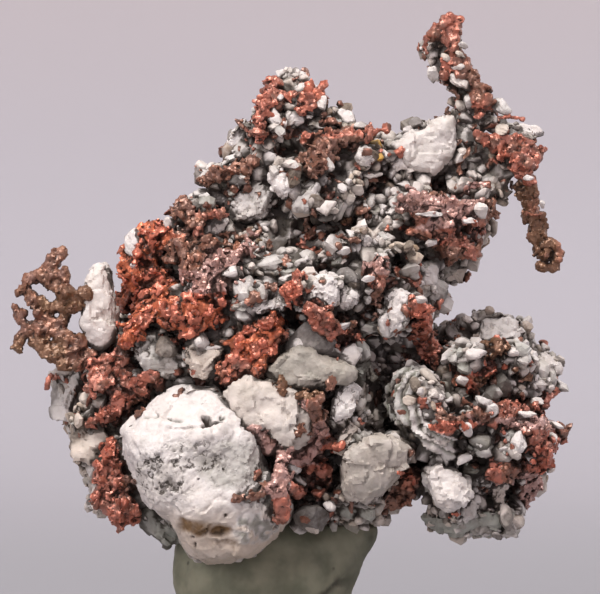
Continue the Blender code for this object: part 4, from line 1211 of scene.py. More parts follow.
@dataclass
class FrontBlock:
    """The large white block: its outline swept back from a domed front face, with pits, cracks and hollows.

    Attributes:
        outline: Corners of its outline as x and z.
        front: Depth of its front face.
        back: Depth of its back.
        around: Points round the outline.
        rings: Points from the middle of the front to the middle of the back.
        squareness: Power of the rim: 2 is an oval section, and more is squarer.
        voxel: Width of the finished skin's quads.
        ledge_line: The broken ledge near the top.
        fold_line: The crease above the undercut foot.
        pitted: Where its face is pitted.
        hollows: Hollows near the foot.
        rusty: Where those hollows are rusty.
        dots: Small dark holes.
    """

    outline: Line = (
        (-20.7, 29.2), (-18.2, 31.2), (-15.6, 33.4), (-13, 34.3), (-9, 34.6), (-7.1, 32.3), (-5, 29.2),
        (-3.5, 26.6), (-2, 24), (0, 21), (0.5, 18.4), (-0.6, 15.8), (-2.8, 13.8), (-4.6, 12.6), (-7.5, 12.1),
        (-10.5, 12.4), (-12.2, 13.5), (-13.5, 15.2), (-14.6, 17.3), (-16.6, 18.6), (-18.3, 21), (-19.2, 24),
        (-20.2, 26.5),
    )
    front: float = -20.3
    back: float = -5.5
    around: int = 160
    rings: int = 70
    squareness: float = 4.2
    voxel: float = 0.21
    ledge_line: Line = ((-18.0, 31.0), (-16.0, 31.2), (-14.6, 30.9), (-13.0, 30.2), (-11.6, 29.6),
                        (-10.2, 29.9), (-8.6, 29.7), (-7.6, 30.6))
    fold_line: Line = ((-16.4, 19.0), (-13.2, 18.3), (-9.5, 18.2), (-6.4, 18.9), (-3.0, 20.6))
    pitted: Ovals = ((1.0, (-15.6, 23.2), (4.0, 3.2), 0.45), (0.7, (-12.0, 26.0), (4.0, 2.4), 0.5))
    hollows: Ovals = (
        (0.55, (-10.7, 16.2), (0.9, 0.45), 0.6), (0.9, (-8.1, 16.4), (1.3, 0.6), 0.6),
        (0.45, (-12.4, 17.0), (1.5, 0.9), 0.6), (0.5, (-7.1, 14.6), (1.5, 0.6), 0.7))
    rusty: Ovals = ((1.0, (-11.6, 16.9), (2.2, 1.1), 0.5), (1.0, (-8.0, 16.7), (1.6, 0.8), 0.5))
    dots: Ovals = ((1.0, (-7.4, 18.5), (0.2, 0.2), 0.5), (1.0, (-11.7, 15.4), (0.25, 0.2), 0.5),
                   (1.0, (-11.4, 14.4), (0.2, 0.35), 0.5))

    def surface(self) -> Surface:
        """The block, swept from its outline, leant back and skinned evenly."""
        block = swept(self.outline, self.front, self.back, self.around, self.rings, self.squareness, 4)
        block.points[:, 1] += self.lie(block.points)
        return self.carved(fused([block], self.voxel))

    def lie(self, points: Array) -> Array:
        """How far the front face lies back: the top leans back, and the foot is undercut below the fold."""
        z = points[:, 2]
        faces_front = smooth_step(-points[:, 1], 8.0, 14.0)
        top = 5.5 * smooth_step(z, 25.0, 35.5) ** 1.5
        foot = 1.0 * smooth_step(-z, -19.2, -11.5) ** 1.1
        side = 2.0 * smooth_step(points[:, 0], -6.0, 1.0) + 1.5 * smooth_step(-points[:, 0], 14.0, 21.0)
        return faces_front * (top + foot + side)

    def carved(self, block: Surface) -> Surface:
        """The block with its relief and the marks of its finish.

        Args:
            block: The plain block.

        Returns:
            The block, weathered.
        """
        points = block.points
        x, z = points[:, 0], points[:, 2]
        forward = smooth_step(-block.normals()[:, 1], -0.2, 0.5)
        hills = 0.55 * cloud(points, 5.0, 31) + 0.30 * cloud(points, 2.2, 32)
        hills = hills + 0.11 * layered_cloud(points, 0.9, 3, 33)
        chips = 0.30 * chipped(points, 3.2, 0.8, 34) + 0.13 * chipped(points, 1.6, 0.9, 35)
        chips = chips + 0.06 * chipped(points, 0.7, 0.9, 36)
        near, _, owner, _ = cells_of(points, 0.62, 41)
        pitted = forward * strongest(x, z, self.pitted)
        ticks = cloud(points * np.array((1.0, 1.0, 0.6)), 0.42, 44) + 0.6 * cloud(points, 0.9, 46)
        pits = smooth_step(ticks + 0.9 * (pitted - 1.0), 0.12, 0.5) * smooth_step(pitted, 0.0, 0.3)
        sparse = forward * (chance(owner, 47) > 0.955) * (1 - smooth_step(near, 0.10, 0.38))
        wx, wz = x + 0.7 * cloud(points, 1.3, 37), z + 0.6 * cloud(points, 1.1, 38)
        broken = smooth_step(cloud(points, 1.2, 50), -0.3, 0.3)
        ledge = groove(wx, wz, self.ledge_line, 0.42) * forward * broken
        lip = groove(x, z + 1.0, self.ledge_line, 1.4) * forward
        hole = oval(wx, wz, (-9.3, 30.0), (1.2, 0.5), 0.4) * forward
        crease = groove(x, z, self.fold_line, 1.5) * forward
        hollows = forward * strongest(wx, wz, self.hollows)
        ochre = forward * strongest(wx, wz, self.rusty)
        dots = forward * strongest(x, z, self.dots)
        drusy = oval(x, z, (-6.4, 24.9), (4.6, 3.0), 0.3) * forward
        relief = hills + chips + 0.40 * lip - 0.30 * pits - 0.30 * sparse
        relief = relief - 0.5 * ledge - 1.5 * hole - 1.1 * hollows - 0.5 * dots
        relief = relief + 0.16 * drusy * (0.5 - cells_of(points, 0.55, 52)[0]) - 0.25 * drusy
        cool = oval(wx, wz, (-3.4, 16.7), (3.0, 1.7), 0.4) * forward
        cool = cool * smooth_step(cloud(points, 0.7, 55), -0.7, 0.4)
        block = block.moved(relief)
        sunk = smooth_step(block.hollows(5), 0.02, 0.12)
        low = smooth_step(-z, -20.5, -16.5)
        # Painted shade: dusk rises in the hollows (sunk), and crevice darkens the pits, holes, dots and the
        # ledge.
        block.marks = {
            "warmth": 0.05 + 0.75 * low - 1.4 * cool - 0.25 * drusy - 0.8 * ledge,
            "dusk": 0.03 + 0.34 * drusy + 0.75 * cool + 0.25 * pitted + 0.25 * sunk,
            "rust": 0.9 * ochre + 0.6 * hollows + 0.15 * crease + 0.4 * hole + 0.3 * low * sunk,
            "crevice": np.clip(0.64 * pits + 0.8 * sparse + 0.9 * hole + 1.2 * dots + 0.6 * ledge, 0, 1),
            "ticks": np.clip(1.1 * pitted + 0.45 * drusy + 0.3 * cool + 0.12, 0, 1),
        }
        return block


@dataclass
class Calcite:
    """The pale crystals: an even body, the front block, the seated crystals, and grains all over.

    Attributes:
        node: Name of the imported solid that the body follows.
        voxel: Width of the body's quads.
        shrink: How far the body lies inside the solid, so that crystals stand on it.
        lump_cell: Spacing of the chance lumps.
        grain_cell: Closest spacing of the grains.
        block_middle: Middle of the front block, as x and z.
        block_half: Half-width and half-height of the ground that the front block hides.
        foot: Height below which the putty hides everything.
        shell_middle: Middle of the scalloped shell's furrows, as x and z.
        shell_edges: The shell's nested edges, each as a line and its half-width.
        small_grids: Least and greatest half-size, and rings and segments, of the small seated crystals.
        large_grids: The same for the larger ones.
        seed: Seed of all chance in the calcite.
    """

    node: str = "calcite_matrix"
    voxel: float = 0.48
    shrink: float = 0.40
    lump_cell: float = 3.4
    grain_cell: float = 1.0
    block_middle: tuple[float, float] = (-10.0, 22.5)
    block_half: tuple[float, float] = (11.5, 12.5)
    foot: float = 15.5
    shell_middle: tuple[float, float] = (22.0, 32.5)
    shell_edges: Branches = (
        (((16.9, 37.0), (15.2, 36.2), (14.1, 34.4), (13.0, 33.1), (13.7, 31.3), (15.2, 29.3), (16.8, 27.2),
          (19.1, 25.6), (22.0, 25.0)), 0.60),
        (((17.2, 36.0), (15.5, 35.0), (14.7, 33.4), (14.9, 31.6), (16.3, 29.8), (18.1, 27.7), (20.4, 26.5),
          (22.6, 26.0)), 0.80),
        (((16.4, 34.4), (15.9, 33.0), (16.3, 31.6), (17.5, 30.2), (19.2, 28.7), (21.4, 27.6)), 0.85),
    )
    small_grids: tuple = ((0.0, 1.25, (9, 14)), (1.25, 2.4, (14, 24)))
    large_grids: tuple = ((2.4, 3.4, (24, 40)), (3.4, 9.9, (40, 64)))
    seed: int = 7

    def __post_init__(self) -> None:
        """Reads the seated and the outlined crystals from their tables."""
        self.draw = np.random.default_rng(self.seed)
        self.seated = [Crystal(*row) for rows in CRYSTALS.values() for row in rows]
        self.slabs = [Slab(*row) for row in OUTLINED]

    def body(self, frame: dict) -> Surface:
        """The solid, slightly shrunk, as a mass of rounded grains with flat chips among them.

        Args:
            frame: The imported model.

        Returns:
            The body, with its marks.
        """
        body = remade(frame["nodes"][self.node], self.voxel).softened(2)
        points = body.points
        x, z = points[:, 0], points[:, 2]
        in_front = smooth_step(-body.normals()[:, 1], -0.3, 0.2)
        hidden = smooth_step(-points[:, 1], 8.0, 11.0) * oval(x, z, self.block_middle, self.block_half, 0.12)
        dark, pressed = self.cavity(points), np.zeros(len(x))
        for slab in self.slabs:
            pressed[inside(x, z, slab.outline) & (in_front > 0.3) & (points[:, 1] < 4.0)] = 1.0
        for c in self.seated:
            if c.reach > 1.7:
                behind = in_front * oval(x, z, (c.x, c.z), (c.half_width, c.half_height), 0.25)
                pressed = np.maximum(pressed, behind * (points[:, 1] < 4.0))
        near, second, owner, _ = cells_of(points, 1.25, 61)
        seam = 1.0 - smooth_step(second - near, 0.0, 0.22)
        relief = 0.42 * chipped(points, 2.6, 1.0, 71) + 0.45 * (0.5 - near**2) - 0.2 * seam
        relief = relief + 0.10 * layered_cloud(points, 0.9, 2, 81)
        body = body.moved(relief - self.shrink)
        body.points[:, 1] += 5.0 * hidden + 1.3 * pressed + in_front * self.cavity(points, sunk=True)
        other = chance(owner, 66)
        # Painted shade: the crevice mark darkens the seams between grains and the gaps between crystals on the
        # front.
        body.marks = {
            "warmth": 0.15 - 0.6 * smooth_step(cloud(points, 7.0, 91), 0.0, 0.8) + 0.3 * (other - 0.5),
            "dusk": 0.30 + 0.40 * (other > 0.55) + 0.25 * cloud(points, 4.0, 92),
            "rust": smooth_step(cloud(points, 4.0, 93), 0.1, 0.8) * 0.5 + 0.5 * (other < 0.08),
            "crevice": np.clip(0.65 * seam + in_front * dark, 0, 1),
        }
        return body

    def cavity(self, points: Array, sunk: bool = False) -> Array:
        """The gaps between the crystals, darkened with painted shade.

        Args:
            points: Places, one to a row.
            sunk: True for depths in millimetres.

        Returns:
            How far each place lies in a gap, from 0 to 1, or how deep it is sunk there.
        """
        found = np.zeros(len(points))
        for x, z, half_width, half_height, depth in CAVITIES:
            share = oval(points[:, 0], points[:, 2], (x, z), (half_width, half_height), 0.35)
            found = np.maximum(found, share * (depth if sunk else 1.0))
        return found

    def outlined(self, tree: BVHTree) -> Surface:
        """The larger crystals, swept from their outlines, each seated on the body and skinned evenly.

        Args:
            tree: Search tree of the body.

        Returns:
            Their surface.
        """
        made = []
        for slab in self.slabs:
            corners = np.array(slab.outline)
            x, z = corners.mean(axis=0)
            spread = np.concatenate((corners * 0.5 + np.array((x, z)) * 0.5, [(x, z)]))
            ground = float(np.median([front_at(tree, *place) for place in spread]))
            reach = float(np.sqrt(np.prod(np.ptp(corners, axis=0))) / 2)
            front = ground - slab.proud
            grown = (x, z) + 1.06 * (corners - (x, z))
            form = swept(grown, front, front + slab.depth, 48, 24, slab.squareness, 1)
            form = fused([form], float(np.clip(0.09 * reach, 0.16, 0.30))).softened(1)
            deep_in = (form.points[:, 1] - (front + slab.depth / 2)) / (slab.depth / 2)
            form.points[:, 1] += slab.lean * np.clip(form.points[:, 2] - z, -reach, reach)
            number = self.draw.random()
            bevel = chipped(form.points / reach, 1.4, 1.0, int(100 * number))
            bevel = bevel + 0.5 * chipped(form.points / reach, 0.6, 1.0, int(90 * number))
            form = form.moved((0.08 + 0.05 * reach) * reach**0.5 * (0.2 + 0.8 * slab.skin.value) * bevel)
            side = smooth_step(1.0 - np.abs(form.normals()[:, 1]), 0.35, 0.9)
            bites = smooth_step(cloud(form.points, 0.9, 119), 0.0, 0.6) + 0.5 * cloud(form.points, 1.8, 120)
            form = form.moved(-0.12 * min(reach, 3.0) * side * bites)
            many = len(form.points)
            # Painted shade: each larger crystal darkens towards its back.
            form.marks = {"bit": np.full(many, number), "crevice": 0.5 * smooth_step(deep_in, 0.0, 0.8)}
            tone = np.tile(slab.tone.value, (many, 1))
            made.append(self.weathered(form, np.full(many, reach), tone, slab.skin.value))
        return joined(made)

    def crystals(self, tree: BVHTree, small: bool) -> Surface:
        """The seated crystals, each where a ray from the front meets the body.

        Args:
            tree: Search tree of the body.
            small: True for those up to 2.4 mm in half-size, and False for the others.

        Returns:
            Their surface.
        """
        made = []
        for least, most, grid in self.small_grids if small else self.large_grids:
            group = [c for c in self.seated if least <= c.reach < most]
            made.append(self.seat(group, grid, tree))
        return joined(made)

    def seat(self, group: list[Crystal], grid: tuple[int, int], tree: BVHTree) -> Surface:
        """Places one group of crystals.

        Args:
            group: The crystals.
            grid: Rings and segments of each.
            tree: Search tree of the body.

        Returns:
            Their surface, with its marks.
        """
        depth = np.array([front_at(tree, c.x, c.z) for c in group])
        lean = np.radians([c.lean for c in group])
        zero, one = np.zeros(len(group)), np.ones(len(group))
        across = np.stack((np.cos(lean), zero, -np.sin(lean)), axis=1)
        up = np.stack((np.sin(lean), zero, np.cos(lean)), axis=1)
        frames = np.stack((across, np.stack((zero, one, zero), axis=1), up), axis=1)
        width = np.array([c.half_width for c in group])
        height = np.array([c.half_height for c in group])
        deep = np.minimum(0.85 * np.sqrt(width * height) + 0.25, 3.2)
        proud = np.array([c.proud for c in group])
        centres = np.stack(([c.x for c in group], depth - proud + deep, [c.z for c in group]), axis=1)
        crisp = 3.2 * np.array([c.crispness for c in group], float)
        halves = np.stack((width, deep, height), axis=1)
        surface = lumps(centres, frames, halves, crisp, grid, 10, self.draw, 0.05)
        each = len(surface.points) // len(group)
        # Painted shade: each crystal darkens towards its back, where it meets the body.
        deep_in = np.repeat(centres[:, 1] - 0.9 * deep, each)
        surface.marks["crevice"] = smooth_step(surface.points[:, 1] - deep_in, 0.25, 1.5)
        tone = np.repeat(np.array([c.tone.value for c in group]), each, axis=0)
        size = np.repeat(np.sqrt(width * height), each)
        return self.weathered(surface, size, tone, Skin.PLAIN.value)

    def weathered(self, surface: Surface, size: Array, tone: Array, strength: float) -> Surface:
        """Gives seated crystals their relief and marks.

        Args:
            surface: The crystals.
            size: Each point's crystal's size.
            tone: Each point's warmth and dusk.
            strength: Strength of their chips.

        Returns:
            The crystals with their relief.
        """
        points = surface.points
        chips = np.minimum(0.11 * size, 0.34) * chipped(points, 2.1, 1.0, 105)
        chips = chips + np.minimum(0.08 * size, 0.13) * chipped(points, 0.8, 0.9, 106)
        rough = 0.06 * size * cloud(points, 1.9, 101) + 0.06 * layered_cloud(points, 0.6, 2, 102)
        surface = surface.moved(strength * chips + rough * (0.3 + 0.7 * strength))
        sunk = smooth_step(surface.hollows(3), 0.02, 0.14)
        # Painted shade: dusk rises in the hollows, and the crevice mark darkens each crystal towards the ground
        # it stands on.
        surface.marks |= {
            "warmth": tone[:, 0] + 0.25 * (surface.marks["bit"] - 0.5),
            "dusk": tone[:, 1] + 0.25 * sunk,
            "rust": 0.25 * smooth_step(cloud(points, 3.0, 108), 0.4, 0.9),
            "crevice": np.clip(0.75 * surface.marks["crevice"], 0, 1),
        }
        return surface

    def shell(self, tree: BVHTree) -> Surface:
        """The scalloped shell on the round lobe: nested curved edges, fused into one skin with fine furrows.

        Args:
            tree: Search tree of the body.

        Returns:
            The shell, with its marks.
        """
        skin = fused([strung(self.shell_edges, tree, self.draw, 0.3)], 0.26)
        x, z = skin.points[:, 0], skin.points[:, 2]
        edge = np.hypot(x - self.shell_middle[0], z - self.shell_middle[1]) / 1.25
        edge = edge + 0.55 * cloud(skin.points, 2.4, 173)
        wave = edge % 1.0
        skin = skin.moved(0.5 * (wave - 0.5) + 0.10 * chipped(skin.points, 1.2, 0.9, 171))
        # Painted shade: the furrows are darker and grey-green, and marked as crevices.
        dull = 1.0 - smooth_step(wave, 0.15, 0.6)
        skin.marks = {
            "warmth": -0.1 - 0.7 * dull + 0.4 * cloud(skin.points, 3.0, 174),
            "dusk": 0.1 + 0.7 * dull,
            "rust": np.zeros(len(x)),
            "crevice": 0.5 * (wave < 0.15),
        }
        return skin

    def covered(self, places: Array, facing: Array, margin: float) -> Array:
        """Tells the places on the front that lie behind a seated crystal, the shell or the front block.

        Args:
            places: The places, one to a row.
            facing: The outward direction at each.
            margin: Factor by which the crystals' outlines are grown.

        Returns:
            True for each place that is covered.
        """
        x, z = places[:, 0], places[:, 2]
        cover = (oval(x, z, self.block_middle, self.block_half, 0.02) > 0.5) & (places[:, 1] < -5.0)
        in_front = (facing[:, 1] < -0.15) & (places[:, 1] < 3.0)
        cover |= in_front & (self.cavity(places) > 0.4)
        for c in self.seated:
            if c.reach > 1.3:
                cover |= in_front & (np.hypot((x - c.x) / c.half_width, (z - c.z) / c.half_height) < margin)
        for slab in self.slabs:
            cover |= in_front & inside(x, z, slab.outline, margin)
        for line, half in self.shell_edges:
            cover |= in_front & (groove(x, z, tuple(line), half * margin) > 0.05)
        return cover

    def chance_lumps(self, body: Surface) -> Surface:
        """Chance lumps, up to 2.6 mm in radius on the sides and the back and smaller ones in front.

        Args:
            body: What they grow on.

        Returns:
            The lumps.
        """
        places, facing = body.scattered(9000, self.draw)
        keep = thinned(places, self.lump_cell)
        places, facing = places[keep], facing[keep]
        keep = ~self.covered(places, facing, 1.3) & (places[:, 2] > self.foot)
        places, facing = places[keep], facing[keep]
        many = len(places)
        in_front = (facing[:, 1] < 0.6) & (places[:, 1] < 8.0)
        size = np.clip(self.draw.lognormal(np.log(1.4), 0.35, many), 0.8, 2.6)
        size = np.where(in_front | (places[:, 2] > 66), 0.55 * size, size)
        stretch = self.draw.uniform(0.6, 1.4, (many, 3))
        centres = places - facing * (0.5 * size)[:, None]
        frames = frames_about(self.draw.normal(size=(many, 3)), self.draw)
        crisp = self.draw.uniform(30, 70, many)
        surface = lumps(centres, frames, size[:, None] * stretch, crisp, (8, 13), 11, self.draw, 0.04)
        surface = surface.moved(0.06 * layered_cloud(surface.points, 1.2, 3, 111))
        return self.toned(surface, 0.2, places - 0.2 * facing, facing)

    def grains(self, body: Surface, ahead: bool) -> Surface:
        """Small grains of 0.3 to 1.2 mm radius, close together over the granular ground.

        Args:
            body: What they grow on.
            ahead: True for the front and False for the sides and the back.

        Returns:
            The grains.
        """
        places, facing = body.scattered(30000, self.draw)
        keep = thinned(places, self.grain_cell if ahead else 1.25 * self.grain_cell)
        places, facing = places[keep], facing[keep]
        in_front = (facing[:, 1] < 0.1) & (places[:, 1] < 5.0)
        rich = 0.55 + 0.7 * cloud(places, 5.0, 121) + 0.25 * in_front
        keep = ~self.covered(places, facing, 0.98) & (self.draw.random(len(places)) < rich)
        keep &= (places[:, 2] > self.foot) & (in_front == ahead)
        places, facing = places[keep], facing[keep]
        many = len(places)
        size = np.clip(self.draw.lognormal(np.log(0.48 if ahead else 0.62), 0.40, many), 0.24, 1.2)
        stretch = self.draw.uniform(0.6, 1.5, (many, 3))
        centres = places + facing * (self.draw.uniform(0.0, 0.5, many) * size + 0.3 * self.shrink)[:, None]
        frames = frames_about(self.draw.normal(size=(many, 3)), self.draw)
        crisp = self.draw.uniform(30, 60, many)
        surface = lumps(centres, frames, size[:, None] * stretch, crisp, (4, 7), 7, self.draw)
        return self.toned(surface, 0.25, places, facing)

    def toned(self, surface: Surface, spread: float, roots: Array, facing: Array) -> Surface:
        """Marks chance crystals: mostly white, some grey, a few cream or green ones, and darkened at the root
        with painted shade.

        Args:
            surface: The crystals, with an even number of points each.
            spread: How much their warmth varies.
            roots: The place on the ground of each.
            facing: Which way the ground faces there.

        Returns:
            The crystals.
        """
        bit, points = surface.marks["bit"], surface.points
        each = len(points) // len(roots)
        height = np.sum((points - np.repeat(roots, each, axis=0)) * np.repeat(facing, each, axis=0), axis=1)
        other = (bit * 7.31) % 1.0
        zone = cloud(points, 8.0, 131)
        behind = np.repeat(smooth_step(facing[:, 1], -0.1, 0.4), each)
        warmth = 0.15 + spread * (2 * bit - 1) * (1 + behind)
        warmth = warmth - 0.6 * smooth_step(zone, 0.25, 0.7) * (other > 0.4)
        dusk = 0.40 * (other > 0.75) + 0.25 * smooth_step(zone, 0.1, 0.6)
        dusk = dusk + 0.45 * behind * smooth_step(cloud(points, 5.0, 136), 0.1, 0.7)
        # Painted shade: the crevice mark darkens each crystal near its root.
        surface.marks |= {
            "warmth": warmth + (0.5 + 0.3 * behind) * smooth_step(cloud(points, 9.0, 134), 0.1, 0.6),
            "dusk": dusk - 0.15 * behind * (other < 0.4),
            "rust": 0.7 * (other < 0.06) + 0.35 * smooth_step(cloud(points, 3.0, 133), 0.3, 0.9),
            "crevice": 0.8 * smooth_step(0.55 - height, 0.0, 0.6),
        }
        return surface


# -------------------- Copper


class Hue(Enum):
    """Look of a copper growth, as its glow, plum and olive."""

    BRIGHT = (0.95, 0.0, 0.0)
    RED = (0.62, 0.12, 0.0)
    PLUM = (0.30, 0.75, 0.0)
    OLIVE = (0.20, 0.0, 0.80)
    BROWN = (0.08, 0.15, 0.25)


class Habit(Enum):
    """Shape of the crystals of a growth, as their half-sizes along three axes in parts of their size."""

    KNOB = (0.95, 0.85, 0.75)
    LEAF = (1.45, 1.05, 0.30)
    ROD = (0.50, 0.42, 1.35)


def blended(first: Hue, second: Hue, share: Array) -> Array:
    """Looks between two hues, at a share from 0 to 1 of the second for each point."""
    return (1 - share[:, None]) * np.array(first.value) + share[:, None] * np.array(second.value)


@dataclass(frozen=True)
class Patch:
    """Copper on the front of the specimen, within a leaning oval.

    Attributes:
        x: Place across.
        z: Height.
        half_width: Half-width along its own level axis.
        half_height: Half-height.
        hue: Its look.
        lean: How far its top leans to the right, in degrees.
    """

    x: float
    z: float
    half_width: float
    half_height: float
    hue: Hue
    lean: float = 0.0


